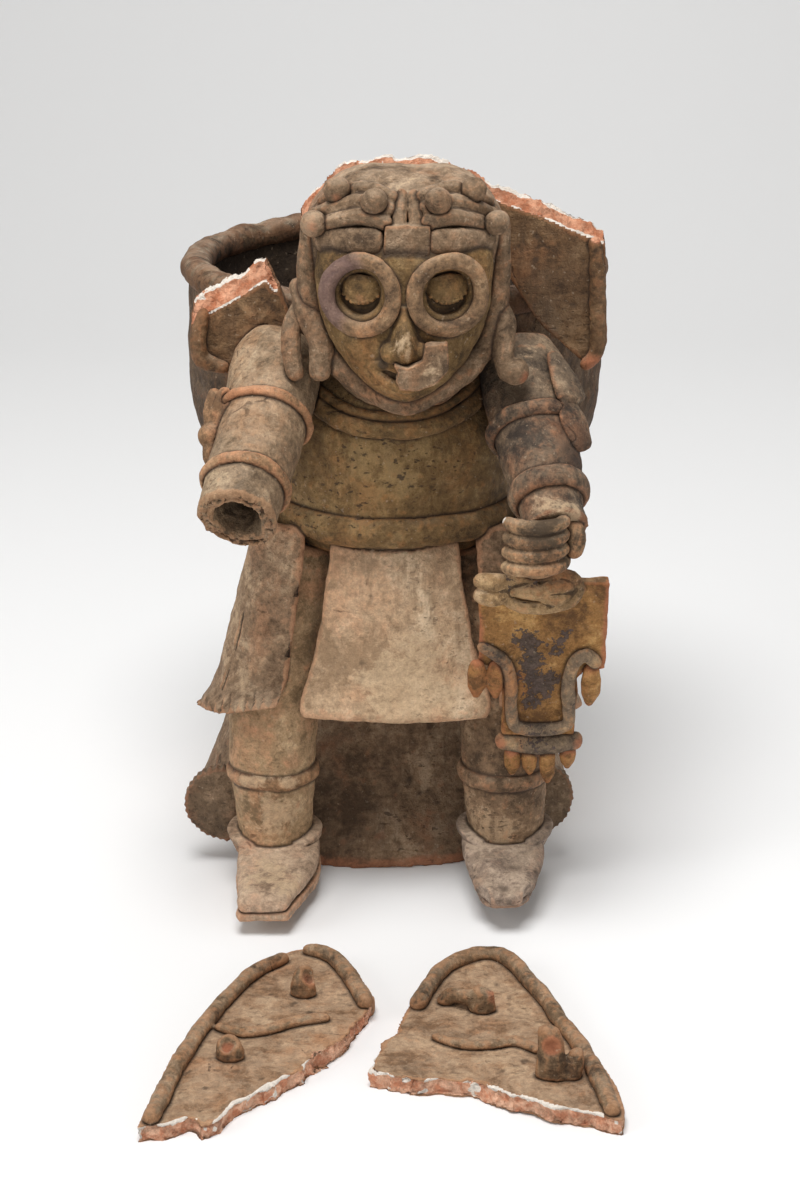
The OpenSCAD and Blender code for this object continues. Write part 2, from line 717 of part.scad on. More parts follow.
module face_solid(gap) translate([head_x, 0, 0]) loft([for (q = face_line)
    [for (k = [0 : 23]) let (a = 360 * (k + 0.5) / 24)
        [(q[1] + gap) * soft(cos(a), 0.85),
         sin(a) < 0 ? -198 + (q[2] + 198 - gap) * soft(-sin(a), 0.85) : -198 + 8 * soft(sin(a), 0.4),
         q[0] + (q[0] < 374 ? -gap : q[0] > 474 ? gap : 0)]]]);

// Middle of the goggles in front of the face
goggle_y = -231;

// Round hollow behind each goggle
module socket(s, gap) translate([head_x + 27.5 * s, goggle_y + 5, 444.5]) rotate([90, 0, 20 * s])
    translate([0, 0, gap - 5]) cylinder(30, r = goggle_r - goggle_band - 0.5 - gap, $fn = 48);

module face() color(grey) difference() {
    face_solid(0);
    hood_solid(lute);
    torso_solid(lute);
    socket(-1, 0);
    socket(1, 0);
}

module face_frame_solid(gap) translate([head_x, 0, 0]) roll([[-62, -188, 484, frame_r - 1 + gap],
    [-63, -189, 458, frame_r + gap], [-62, -190, 430, frame_r + gap], [-56, -193, 403, frame_r + gap],
    [-43, -199, 387, frame_r + 1 + gap], [-24, -208, 376, frame_r + 1.5 + gap],
        [0, -214, 368.5, frame_r + 2 + gap],
    [24, -208, 376, frame_r + 1.5 + gap], [43, -199, 387, frame_r + 1 + gap], [56, -193, 403, frame_r + gap],
    [62, -190, 430, frame_r + gap], [63, -189, 458, frame_r + gap], [62, -188, 484, frame_r - 1 + gap]],
    3, 10, [0, 1, 0]);

module face_frame() color(tan) difference() {
    face_frame_solid(0);
    hood_solid(lute);
    face_solid(lute);
    right_arm_solid(lute);
    left_arm_solid(lute);
    torso_solid(lute);
}

brow_plate = [[19, -224, 477, 9.5], [35, -220, 477, 9.5], [53, -206, 476, 9]];

module brow_solid(gap) translate([head_x, 0, 0]) {
    roll(grow(brow_plate, gap), 4, 12, [0, 1, 0], 0.62);
    roll(grow(mirror_x(brow_plate), gap), 4, 12, [0, 1, 0], 0.62);
}

module brow_band() color(grey) difference() {
    brow_solid(0);
    hood_solid(lute);
    face_solid(lute);
    face_frame_solid(lute);
    brow_block_solid(lute);
}

module brow_block_solid(gap) translate([head_x, 0, 0]) {
    translate([1, -229 - gap, 477]) rotate([-90, 0, 0]) linear_extrude(22 + gap)
        square([29 + 2 * gap, 23 + 2 * gap], center = true);
    for (s = [-1, 1])
        roll([[1 + 6 * s, -223, 487, 5 + gap], [1 + 5 * s, -218, 496, 4.5 + gap],
            [1 + 4 * s, -210, 505, 3.5 + gap]],
            3, 8, [1, 0, 0]);
}

module brow_block() color(grey) difference() {
    brow_block_solid(0);
    hood_solid(lute);
    face_solid(lute);
}

cord_a = [[9, -212, 503, cord_r], [24, -206, 508, cord_r + 0.5], [38, -199, 506, cord_r],
    [54, -188, 497, cord_r - 1]];
cord_b = [[11, -217, 497, cord_r], [27, -213, 501, cord_r + 0.5], [42, -207, 498, cord_r + 0.5],
    [59, -194, 489, cord_r - 0.5]];
cord_c = [[13, -223, 489, cord_r], [28, -220, 493, cord_r + 0.5], [42, -214, 490, cord_r + 0.5],
    [54, -207, 485, cord_r]];
knob_at = [[44, -204, 508], [21, -221, 503], [59, -210, 487]];

module knobs_solid(gap) translate([head_x, 0, 0]) for (k = knob_at, s = [-1, 1])
    translate([s * k[0], k[1], k[2]]) rotate([0, -90, 0]) sphere(knob_r + gap, $fn = 20);

module brow_cords() color(tan) difference() {
    translate([head_x, 0, 0]) for (c = [cord_a, cord_b, cord_c]) {
        roll(c, 3, 8, [0, 0, 1]);
        roll(mirror_x(c), 3, 8, [0, 0, 1]);
    }
    hood_solid(lute);
    knobs_solid(lute);
    brow_block_solid(lute);
    brow_solid(lute);
    face_frame_solid(lute);
}

module brow_knobs() color(tan) difference() {
    knobs_solid(0);
    hood_solid(lute);
    brow_solid(lute);
    brow_block_solid(lute);
    face_frame_solid(lute);
}

// Flat goggle ring turned to the side of the face
module goggle(s, gap) translate([head_x + 27.5 * s, goggle_y, 444.5]) rotate([90, 0, 20 * s])
    rotate_extrude($fn = 48) translate([goggle_r - goggle_band / 2, 0]) {
        square([goggle_band - 7 + 2 * gap, 13 + 2 * gap], center = true);
        for (e = [-1, 1])
            translate([e * (goggle_band / 2 - 4), 2]) circle(4 + gap, $fn = 24);
    }

module right_goggle() color(grey) difference() {
    goggle(-1, 0);
    face_solid(lute);
    hood_solid(lute);
    brow_solid(lute);
    brow_block_solid(lute);
    face_frame_solid(lute);
}

module left_goggle() color(grey) difference() {
    goggle(1, 0);
    goggle(-1, lute);
    face_solid(lute);
    hood_solid(lute);
    brow_solid(lute);
    brow_block_solid(lute);
    face_frame_solid(lute);
}

// Half-closed eye: a heavy upper lid over a sunken dome
module eye(s) translate([head_x + 27.5 * s, goggle_y + 5, 444.5]) rotate([0, 0, 20 * s]) {
    translate([0, 16, 0]) rotate([90, 0, 0]) sphere(17, $fn = 48);
    roll([[-13.5, 3, 6, 4], [-8, -1, 4.5, 8], [0, -2.5, 3.5, 10], [8, -1, 4.5, 8], [13.5, 3, 6, 4]],
        3, 16, [0, 1, 0], 0.42);
}

module right_eye() color(grey) difference() {
    eye(-1);
    difference() {
        face_solid(lute);
        socket(-1, lute);
    }
    goggle(-1, lute);
}

module left_eye() color(grey) difference() {
    eye(1);
    difference() {
        face_solid(lute);
        socket(1, lute);
    }
    goggle(1, lute);
}

// Nose levels: height, half width, front plane
nose_line = spline([[438, 4.5, -240], [427, 6.5, -246], [416, 9, -251], [409, 10, -252], [402, 7, -246]], 2);

module nose_solid(gap) translate([head_x, 0, 0]) {
    loft([for (q = back(nose_line))
        [for (k = [0 : 15]) let (a = 22.5 * (k + 0.5))
            [(q[1] + gap) * soft(cos(a), 0.9),
             sin(a) < 0 ? -230 + (q[2] + 230 - gap) * soft(-sin(a), 1.2) : -230 + 8 * soft(sin(a), 0.5),
             q[0] + (q[0] < 403 ? -gap : q[0] > 434 ? gap : 0)]]]);
    for (e = [-1, 1])
        translate([8.5 * e, -239, 408]) rotate([0, 90, 0]) sphere(6.5 + gap, $fn = 36);
}

module nose() color(grey) difference() {
    nose_solid(0);
    face_solid(lute);
    goggle(-1, lute);
    goggle(1, lute);
}

// Plate hung below the nose, its right end lost
module nose_plate() color(tan) difference() {
    translate([head_x, -241, 0]) rotate([90, 0, 0]) linear_extrude(11)
        polygon([[-7, 403], [2, 401], [11, 405], [13, 415], [27, 416], [28, 398], [20, 390], [9, 386],
            [-3, 387], [-6, 393], [-4, 398]]);
    nose_solid(lute);
    lips_solid(lute);
    face_solid(lute);
    goggle(-1, lute);
    goggle(1, lute);
}

module lips_solid(gap) translate([head_x, 0, 0]) {
    roll([[-22, -231, 397, 3 + gap], [-12, -236, 388, 4 + gap], [0, -238, 384, 4.5 + gap],
        [12, -236, 387, 4 + gap],
        [22, -231, 395, 3 + gap]], 3, 8, [0, 0, 1]);
    roll([[-22, -231, 398, 3 + gap], [-11, -236, 399, 3.5 + gap], [0, -237, 396, 3.5 + gap],
        [11, -236, 398, 3.5 + gap], [22, -231, 396, 3 + gap]], 3, 8, [0, 0, 1]);
}

module lips() color(grey) difference() {
    lips_solid(0);
    face_solid(lute);
    nose_solid(lute);
    goggle(-1, lute);
    goggle(1, lute);
}

module right_ear_loop() color(tan) difference() {
    union() {
        roll([[-63, -182, 437, 6.5], [-56, -194, 421, 8], [-49, -200, 405, 8], [-50, -203, 386, 7.5]],
            3, 10, [0, 1, 0]);
        roll([[-62, -184, 428, 5], [-68, -190, 412, 6.5], [-69, -195, 398, 6.5], [-67, -198, 384, 6]],
            3, 10, [0, 1, 0]);
    }
    hood_solid(lute);
    face_frame_solid(lute);
    right_arm_solid(lute);
    face_solid(lute);
}

module left_ear_loop() color(tan) difference() {
    union() {
        roll([[66, -184, 434, 6.5], [74, -193, 417, 7.5], [73, -199, 400, 7.5], [76, -203, 386, 7]],
            3, 10, [0, 1, 0]);
        translate([82, -204, 386]) sphere(9, $fn = 24);
    }
    hood_solid(lute);
    face_frame_solid(lute);
    left_arm_solid(lute);
}

// Headdress slabs

// Slab between a top and a bottom chain of points; the first points of the top
// are broken and lie lower at the front than at the back
module slab(top, bottom, broken) {
    front = [for (i = [0 : len(top) - 1]) [top[i][0], panel_y, top[i][1] - (i < broken ? break_h : 0)]];
    loft([concat(front, back([for (q = bottom) [q[0], panel_y, q[1]]])),
        concat([for (q = top) [q[0], panel_y + panel_t, q[1]]],
            back([for (q = bottom) [q[0], panel_y + panel_t, q[1]]]))]);
}

module headdress_panel() color(tan) difference() {
    slab([[-64, 487], [-38, 516], [-8, 521], [24, 521], [50, 511], [68, 502], [98, 491], [143, 473],
            [144, 425], [145, 392]],
        [[-58, 440], [-34, 440], [-8, 440], [24, 440], [54, 444], [76, 440], [96, 410], [118, 388],
            [130, 378], [140, 377]], 8);
    vessel_solid(lute);
    left_arm_solid(lute);
}

module right_wing_stub() color(tan) difference() {
    slab([[-138, 423], [-112, 437], [-87, 453], [-77, 432], [-66, 402]],
        [[-140, 398], [-130, 374], [-114, 370], [-90, 370], [-66, 370]], 3);
    vessel_solid(lute);
    right_arm_solid(lute);
    torso_solid(lute);
}

module wing_coils() color(tan) difference() {
    union() {
        roll([[136, -152, 462, rim_r - 1], [138, -153, 434, rim_r], [138, -153, 404, rim_r],
            [138, -153, 386, rim_r],
            [131, -153, 378, rim_r - 1]], 3, 10, [0, 1, 0]);
        roll([[-130, -152, 412, rim_r - 1], [-134, -153, 396, rim_r], [-131, -153, 382, rim_r],
            [-118, -153, 376, rim_r - 1]], 3, 10, [0, 1, 0]);
    }
    translate([-200, panel_y - lute, 300]) cube([400, 60, 300]);
    right_arm_solid(lute);
    left_arm_solid(lute);
    tassel_knot(lute);
}

// Broken-off lobes of the headdress, lying on the table

right_lobe = spline([[-152, -536], [-143, -470], [-122, -394], [-103, -345], [-80, -317], [-56, -305],
    [-34, -318],
    [-18, -356], [-10, -386]], 3);
right_lobe_break = [[-21, -412], [-40, -449], [-58, -470], [-82, -500], [-96, -510], [-104, -528],
    [-114, -534],
    [-121, -524], [-135, -534]];
left_lobe = spline([[8, -388], [22, -347], [38, -322], [61, -311], [82, -323], [99, -360], [113, -404],
    [126, -450],
    [137, -494], [139, -528]], 3);
left_lobe_break = [[122, -522], [99, -517], [76, -505], [52, -490], [28, -484], [4, -481], [-22, -473],
    [-12, -444]];

module right_fragment() color(tan) linear_extrude(panel_t) polygon(concat(right_lobe, right_lobe_break));
module left_fragment() color(tan) linear_extrude(panel_t) polygon(concat(left_lobe, left_lobe_break));

rim_z = panel_t + rim_r * 0.45;

module right_fragment_trim() color(tan) difference() {
    union() {
        roll([[-144, -528, rim_z, rim_r], [-135, -470, rim_z, rim_r], [-115, -397, rim_z, rim_r],
            [-97, -350, rim_z, rim_r],
            [-76, -325, rim_z, rim_r - 1]], 3, 8, [0, 0, 1]);
        roll([[-58, -313, rim_z, rim_r - 1], [-40, -325, rim_z, rim_r], [-25, -362, rim_z, rim_r],
            [-19, -384, rim_z, rim_r]], 3, 8, [0, 0, 1]);
        roll([[-110, -417, panel_t + 1, 4], [-95, -424, panel_t + 1, 4.5], [-79, -419, panel_t + 1, 4.5],
            [-62, -409, panel_t + 1, 4.5], [-44, -405, panel_t + 1, 4]], 3, 8, [0, 0, 1]);
        roll([[-59, -372, panel_t, 9], [-59, -372, panel_t + 8, 8], [-58, -370, panel_t + 14, 7]],
            2, 8, [0, 1, 0], 0.8);
        roll([[-103, -452, panel_t, 10], [-103, -452, panel_t + 5, 9], [-104, -451, panel_t + 9, 8]],
            2, 8, [0, 1, 0], 0.8);
    }
    translate([-300, -700, -30]) cube([600, 500, panel_t + 30 + lute]);
}

module left_fragment_trim() color(tan) difference() {
    union() {
        roll([[16, -386, rim_z, rim_r], [29, -350, rim_z, rim_r], [43, -329, rim_z, rim_r],
            [61, -319, rim_z, rim_r],
            [77, -329, rim_z, rim_r], [92, -363, rim_z, rim_r], [106, -406, rim_z, rim_r],
                [119, -452, rim_z, rim_r],
            [131, -518, rim_z, rim_r]], 3, 8, [0, 0, 1]);
        roll([[27, -430, panel_t + 1, 4], [44, -440, panel_t + 1, 4.5], [60, -441, panel_t + 1, 4.5],
            [76, -437, panel_t + 1, 4.5], [90, -447, panel_t + 1, 4]], 3, 8, [0, 0, 1]);
        roll([[57, -390, panel_t, 9], [57, -390, panel_t + 7, 8], [58, -389, panel_t + 12, 7]],
            2, 8, [0, 1, 0], 0.75);
        roll([[33, -380, panel_t, 5], [38, -383, panel_t + 7, 5], [50, -388, panel_t + 8, 5]],
            3, 8, [0, 1, 0]);
        roll([[97, -478, panel_t, 11], [96, -477, panel_t + 15, 9], [94, -476, panel_t + 30, 7]],
            3, 8, [0, 1, 0], 0.6);
        roll([[108, -478, panel_t, 6], [109, -476, panel_t + 9, 6], [110, -475, panel_t + 18, 5]],
            3, 8, [0, 1, 0], 0.8);
    }
    translate([-300, -700, -30]) cube([600, 500, panel_t + 30 + lute]);
}

base_drum();
fire_bowl();
rim_coil();
right_rosette();
left_rosette();
torso();
collar();
inner_collar();
belt();
apron();
right_hip_flap();
left_hip_flap();
right_arm();
right_upper_band();
right_lower_band();
right_arm_tassel();
left_arm();
left_upper_band();
left_wrist_band();
left_arm_tassel();
left_hand();
left_fingers();
bag_handle();
bag_plate();
bag_strip();
bag_band();
bag_tassels();
right_leg();
left_leg();
right_garter();
left_garter();
right_anklet();
left_anklet();
right_foot();
left_foot();
right_sole();
left_sole();
hood();
face();
face_frame();
brow_band();
brow_block();
brow_cords();
brow_knobs();
right_goggle();
left_goggle();
right_eye();
left_eye();
nose();
nose_plate();
lips();
right_ear_loop();
left_ear_loop();
headdress_panel();
right_wing_stub();
wing_coils();
right_fragment();
right_fragment_trim();
left_fragment();
left_fragment_trim();
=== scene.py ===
# %% [markdown]
# # An effigy incense burner of fired clay
# The imported model brings one node for each lump of clay that the potter shaped: the
# vessel, the figure's limbs, every coil and strip. They stand in the right place, but
# their faces are flat and their edges sharp. In this lesson each one becomes hand-worked
# clay: softened, uneven, cracked where it broke, and coloured by fire, soot and soil,
# with some shade and top light painted in.

# %% Load the frame
import json
import math
import random

import bpy
import numpy as np
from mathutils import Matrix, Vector, noise
from mathutils.bvhtree import BVHTree


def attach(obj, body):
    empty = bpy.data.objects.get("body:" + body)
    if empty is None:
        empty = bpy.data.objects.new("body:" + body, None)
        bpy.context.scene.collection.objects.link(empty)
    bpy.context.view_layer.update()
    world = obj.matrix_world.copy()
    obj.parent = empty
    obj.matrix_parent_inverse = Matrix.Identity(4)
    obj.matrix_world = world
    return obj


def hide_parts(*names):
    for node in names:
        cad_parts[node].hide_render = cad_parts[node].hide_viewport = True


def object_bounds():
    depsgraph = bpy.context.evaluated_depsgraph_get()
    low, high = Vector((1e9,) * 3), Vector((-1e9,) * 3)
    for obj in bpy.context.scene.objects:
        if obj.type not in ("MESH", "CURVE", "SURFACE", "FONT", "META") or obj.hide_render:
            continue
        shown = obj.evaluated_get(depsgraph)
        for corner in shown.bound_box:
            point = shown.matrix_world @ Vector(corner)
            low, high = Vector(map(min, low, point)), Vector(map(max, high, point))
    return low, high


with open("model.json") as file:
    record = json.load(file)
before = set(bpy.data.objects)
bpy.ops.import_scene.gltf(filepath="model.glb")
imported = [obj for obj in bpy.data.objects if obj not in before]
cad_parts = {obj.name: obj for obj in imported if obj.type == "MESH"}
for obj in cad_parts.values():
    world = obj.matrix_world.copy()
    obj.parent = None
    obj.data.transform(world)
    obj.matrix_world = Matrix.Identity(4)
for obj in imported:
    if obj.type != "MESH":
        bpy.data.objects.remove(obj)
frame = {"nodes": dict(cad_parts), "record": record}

MM = 0.001
nodes = frame["nodes"]
bodies = frame["record"]["behaviour"]["bodies"]
body_of = {node: body for body, members in bodies.items() for node in members}
cad_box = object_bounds()
print(len(nodes), "nodes, box", [round(v, 3) for v in cad_box[1] - cad_box[0]])

# %% [markdown]
# ## Camera
# The photograph looks down on the figure from a little above its head, with a long lens.
# A pinhole camera with the same pitch and distance gives the same overlaps.

# %% Camera
CAMERA_PLACE = (0.004, -1.883, 0.826)
CAMERA_PITCH = 19.7
bpy.ops.object.select_all(action="DESELECT")
bpy.ops.object.camera_add(location=CAMERA_PLACE, rotation=(math.radians(90 - CAMERA_PITCH), 0, 0))
camera = bpy.context.object
camera.data.lens = 78
camera.data.sensor_width = 36
bpy.context.scene.camera = camera
bpy.context.scene.view_settings.view_transform = "Standard"
print("camera at", CAMERA_PLACE)

# %% [markdown]
# ## Shader arithmetic
# A material is a chain of nodes. Written node by node it is hard to read, so one small
# class wraps a socket: plus, minus and times on it add Math nodes, and its one method
# makes any other node.


# %% A socket that takes arithmetic
class Wire:
    """One shader value in a node tree."""

    def __init__(self, tree, socket=None):
        self.tree, self.socket = tree, socket

    def node(self, kind, settings, values, out=0):
        made = self.tree.nodes.new(kind)
        for name, value in settings.items():
            setattr(made, name, value)
        for key, value in values.items():
            if isinstance(value, Wire):
                self.tree.links.new(value.socket, made.inputs[key])
            else:
                made.inputs[key].default_value = value
        return Wire(self.tree, made.outputs[out])

    def math(self, operation, first, second):
        return self.node("ShaderNodeMath", {"operation": operation}, {0: first, 1: second})

    def __add__(self, other):
        return self.math("ADD", self, other)

    def __radd__(self, other):
        return self.math("ADD", other, self)

    def __sub__(self, other):
        return self.math("SUBTRACT", self, other)

    def __rsub__(self, other):
        return self.math("SUBTRACT", other, self)

    def __mul__(self, other):
        return self.math("MULTIPLY", self, other)

    def __rmul__(self, other):
        return self.math("MULTIPLY", other, self)


def ramp(wire, low, high):
    """0 below low, 1 above high, smooth in between."""
    return wire.node("ShaderNodeMapRange", {"interpolation_type": "SMOOTHSTEP"},
                     {"Value": wire, "From Min": low, "From Max": high})


def blend(share, first, second):
    """Colour that goes from first to second."""
    return share.node("ShaderNodeMix", {"data_type": "RGBA"}, {0: share, 6: first, 7: second}, out=2)


def rgb(red, green, blue):
    """Screen values from 0 to 255 as a linear colour."""
    def linear(value):
        value /= 255
        return value / 12.92 if value <= 0.04045 else ((value + 0.055) / 1.055) ** 2.4
    return (linear(red), linear(green), linear(blue), 1)


print("shader tools ready")

# %% [markdown]
# ## Floor and backdrop
# The burner stands on a pale studio sweep: one sheet that lies flat and curves up behind.
# A plane whose back edge is extruded upwards, with the fold bevelled round, is enough.

# %% Studio sweep
SWEEP_HALF = 6.0
SWEEP_BACK = 2.6
FOLD_RADIUS = 1.2
bpy.ops.object.select_all(action="DESELECT")
bpy.ops.mesh.primitive_plane_add(size=2 * SWEEP_HALF, location=(0, SWEEP_BACK - SWEEP_HALF, 0))
sweep = bpy.context.object
sweep.name = "studio_sweep"
bpy.ops.object.transform_apply(location=True, rotation=False, scale=False)
bpy.ops.object.mode_set(mode="EDIT")
bpy.ops.mesh.select_mode(type="EDGE")
bpy.ops.mesh.select_all(action="DESELECT")
bpy.ops.object.mode_set(mode="OBJECT")
for edge in sweep.data.edges:
    edge.select = all(sweep.data.vertices[v].co.y > SWEEP_BACK - 0.01 for v in edge.vertices)
bpy.ops.object.mode_set(mode="EDIT")
bpy.ops.mesh.extrude_region_move(TRANSFORM_OT_translate={"value": (0, 0, 5)})
bpy.ops.mesh.select_all(action="DESELECT")
bpy.ops.object.mode_set(mode="OBJECT")
for edge in sweep.data.edges:
    ends = [sweep.data.vertices[v].co for v in edge.vertices]
    edge.select = all(e.y > SWEEP_BACK - 0.01 and e.z < 0.01 for e in ends)
bpy.ops.object.mode_set(mode="EDIT")
bpy.ops.mesh.bevel(offset=FOLD_RADIUS, segments=24)
bpy.ops.object.mode_set(mode="OBJECT")
bpy.ops.object.shade_smooth()
paper = bpy.data.materials.new("pale_paper")
paper.use_nodes = True
paper_shader = paper.node_tree.nodes["Principled BSDF"]
paper_grain = Wire(paper.node_tree).node("ShaderNodeTexNoise", {}, {"Scale": 3.0, "Detail": 2.0})
paper_colour = blend(paper_grain, rgb(236, 236, 236), rgb(240, 240, 240))
paper.node_tree.links.new(paper_colour.socket, paper_shader.inputs["Base Color"])
paper_shader.inputs["Roughness"].default_value = 0.95
paper_shader.inputs["Specular IOR Level"].default_value = 0.1
sweep.data.materials.append(paper)
print("sweep with", len(sweep.data.polygons), "faces")

# %% [markdown]
# ## Light
# Broad soft boxes light clay best: a strong one above, weaker ones from the sides and low
# in front, and a low grey world so that no hollow goes black.


# %% Soft boxes
def soft_box(name, place, aim, size, power):
    bpy.ops.object.select_all(action="DESELECT")
    bpy.ops.object.light_add(type="AREA", location=place)
    lamp = bpy.context.object
    lamp.name = name
    lamp.data.shape = "DISK"
    lamp.data.size = size
    lamp.data.energy = power
    lamp.rotation_euler = (Vector(aim) - Vector(place)).to_track_quat("-Z", "Y").to_euler()
    return lamp


AIM = (0, -0.15, 0.2)
soft_box("top_box", (-0.2, -0.8, 2.35), AIM, 1.3, 48)
soft_box("left_box", (-2.1, -1.3, 1.3), AIM, 1.4, 14)
soft_box("right_box", (2.1, -1.5, 0.9), AIM, 1.5, 5)
soft_box("front_box", (0.4, -2.7, 0.6), AIM, 1.6, 7)
soft_box("back_box", (0.5, 1.7, 2.2), AIM, 1.4, 12)
world = bpy.data.worlds.new("studio_air")
bpy.context.scene.world = world
world.use_nodes = True
world.node_tree.nodes["Background"].inputs["Color"].default_value = (1.0, 0.98, 0.95, 1)
world.node_tree.nodes["Background"].inputs["Strength"].default_value = 0.26
print("five soft boxes")

# %% [markdown]
# ## Working the clay
# Every lump starts as a copy of its node. The copy is merged, because a node's triangles
# are loose, then remeshed into an even net, softened, and pushed about by clouds: a broad
# one that bends the whole figure alike, so that pieces stay seated, and smaller ones that
# leave the lumps of fingers and the grit of the clay.


# %% One piece at a time
def alone(piece):
    """Select only this piece and make it active."""
    bpy.ops.object.select_all(action="DESELECT")
    piece.select_set(True)
    bpy.context.view_layer.objects.active = piece


def shape_with(piece, kind, **settings):
    """Add one modifier, set it and apply it."""
    alone(piece)
    modifier = piece.modifiers.new(kind.lower(), kind)
    for name, value in settings.items():
        setattr(modifier, name, value)
    bpy.ops.object.modifier_apply(modifier=modifier.name)


def cloud_texture(name, size, colour="GRAYSCALE"):
    texture = bpy.data.textures.new(name, "CLOUDS")
    texture.cloud_type = colour
    texture.noise_scale = size * MM
    texture.noise_depth = 1
    return texture


BEND = cloud_texture("hand_bend", 70, "COLOR")
LUMP = cloud_texture("finger_lumps", 15)
GRIT = cloud_texture("clay_grit", 5)
BEND_MM, LUMP_MM, GRIT_MM = 4.5, 2.0, 0.6
FINE_NET, FINE_SHARE = 1.0, 0.75
SWELL = 0.05


def knead(node, grain, rounds):
    """A softened, uneven copy of one node; grain is the net's size in mm.

    Softening shrinks a lump, so it is swelled a little again."""
    mesh = nodes[node].data.copy()
    mesh.materials.clear()
    piece = bpy.data.objects.new(node + "_clay", mesh)
    bpy.context.scene.collection.objects.link(piece)
    alone(piece)
    bpy.ops.object.mode_set(mode="EDIT")
    bpy.ops.mesh.select_all(action="SELECT")
    bpy.ops.mesh.remove_doubles(threshold=0.00001)
    bpy.ops.object.mode_set(mode="OBJECT")
    shape_with(piece, "REMESH", mode="VOXEL", voxel_size=grain * MM)
    shape_with(piece, "SMOOTH", factor=0.5, iterations=rounds)
    shape_with(piece, "DISPLACE", direction="NORMAL", mid_level=0, strength=SWELL * rounds * grain * MM)
    small = FINE_SHARE if grain < FINE_NET else 1.0
    local = {"texture_coords": "LOCAL", "mid_level": 0.5}
    shape_with(piece, "DISPLACE", texture=BEND, direction="RGB_TO_XYZ", strength=BEND_MM * MM, **local)
    shape_with(piece, "DISPLACE", texture=LUMP, direction="NORMAL", strength=LUMP_MM * small * MM, **local)
    shape_with(piece, "DISPLACE", texture=GRIT, direction="NORMAL", strength=GRIT_MM * small * MM, **local)
    alone(piece)
    bpy.ops.object.shade_smooth()
    return piece


print("clouds of", [texture.name for texture in (BEND, LUMP, GRIT)])

# %% [markdown]
# Thin coils and beads need a fine net and few rounds of softening, broad walls a coarse
# one. The last word names the finish that the piece gets at the end.

# %% Every lump
# Node: net size in mm, rounds of softening, finish
CLAY = {
    "base_drum": (2.6, 6, "drum"), "fire_bowl": (2.6, 6, "bowl"), "rim_coil": (2.0, 8, "bowl"),
    "right_rosette": (1.0, 3, "rosette"), "left_rosette": (1.0, 3, "rosette"),
    "torso": (1.9, 8, "chest"), "collar": (1.2, 8, "chest"), "inner_collar": (1.1, 8, "chest"),
    "belt": (1.4, 8, "chest"), "apron": (1.4, 14, "apron"),
    "right_hip_flap": (1.4, 14, "flap"), "left_hip_flap": (1.4, 14, "flap"),
    "right_arm": (1.5, 8, "arm"), "right_upper_band": (1.1, 6, "band"),
    "right_lower_band": (1.1, 6, "band"), "right_arm_tassel": (0.9, 5, "band"),
    "left_arm": (1.5, 8, "dark_arm"), "left_upper_band": (1.1, 6, "dark_arm"),
    "left_wrist_band": (1.1, 6, "dark_arm"), "left_arm_tassel": (0.9, 4, "dark_arm"),
    "left_hand": (1.1, 10, "fist"), "left_fingers": (0.9, 6, "fist"),
    "bag_handle": (0.9, 4, "bag_knot"), "bag_plate": (1.1, 4, "bag"), "bag_strip": (0.9, 8, "bag_strip"),
    "bag_band": (0.9, 8, "bag_strip"), "bag_tassels": (0.9, 6, "bag"),
    # The left leg and its garter take a darker finish: painted shade from the bag and arm
    "right_leg": (1.6, 24, "leg"), "left_leg": (1.6, 24, "painted_shade_leg"),
    "right_garter": (1.1, 8, "band"), "left_garter": (1.1, 8, "painted_shade_leg"),
    "right_anklet": (1.2, 6, "foot"), "left_anklet": (1.2, 6, "grey_foot"),
    "right_foot": (1.3, 16, "foot"), "left_foot": (1.3, 16, "grey_foot"),
    "right_sole": (1.2, 5, "foot"), "left_sole": (1.2, 5, "grey_foot"),
    "hood": (1.6, 20, "head"), "face": (1.2, 24, "face"), "face_frame": (1.2, 12, "head"),
    "brow_band": (0.9, 4, "head"), "brow_block": (0.9, 3, "head"), "brow_cords": (0.9, 6, "head"),
    "brow_knobs": (0.9, 4, "head"),
    "right_goggle": (0.9, 4, "goggle"), "left_goggle": (0.9, 4, "goggle"),
    "right_eye": (0.7, 4, "face"), "left_eye": (0.7, 4, "face"), "nose": (0.8, 6, "face"),
    "nose_plate": (0.8, 4, "head"), "lips": (0.8, 5, "face"),
    "right_ear_loop": (0.9, 8, "head"), "left_ear_loop": (0.9, 8, "head"),
    "headdress_panel": (1.4, 3, "wing"), "right_wing_stub": (1.3, 3, "wing"),
    "wing_coils": (1.1, 8, "wing"),
    "right_fragment": (1.5, 3, "lobe"), "right_fragment_trim": (1.1, 6, "lobe_coil"),
    "left_fragment": (1.5, 3, "lobe"), "left_fragment_trim": (1.1, 6, "lobe_coil"),
}
clay = {node: knead(node, grain, rounds) for node, (grain, rounds, finish) in CLAY.items()}
print(len(clay), "pieces,", sum(len(p.data.polygons) for p in clay.values()), "faces")

# %% [markdown]
# Some lumps were smeared together while wet, and no joint is left to see: the nose and
# lips on the face, the cuff of each sandal on its upper. These are joined and netted anew.


# %% Smeared joints
def smear(node, others, grain, rounds):
    """Make one piece of a node and others, with a soft joint."""
    alone(clay[node])
    for other in others:
        clay[other].select_set(True)
    bpy.ops.object.join()
    shape_with(clay[node], "REMESH", mode="VOXEL", voxel_size=grain * MM)
    shape_with(clay[node], "SMOOTH", factor=0.5, iterations=rounds)
    alone(clay[node])
    bpy.ops.object.shade_smooth()
    for other in others:
        del clay[other]
        stands_for[node].append(other)


stands_for = {node: [node] for node in clay}
smear("face", ["nose", "lips"], 0.9, 4)
smear("right_foot", ["right_anklet"], 1.0, 10)
smear("left_foot", ["left_anklet"], 1.0, 10)
print("smeared:", [group for group in stands_for.values() if len(group) > 1])
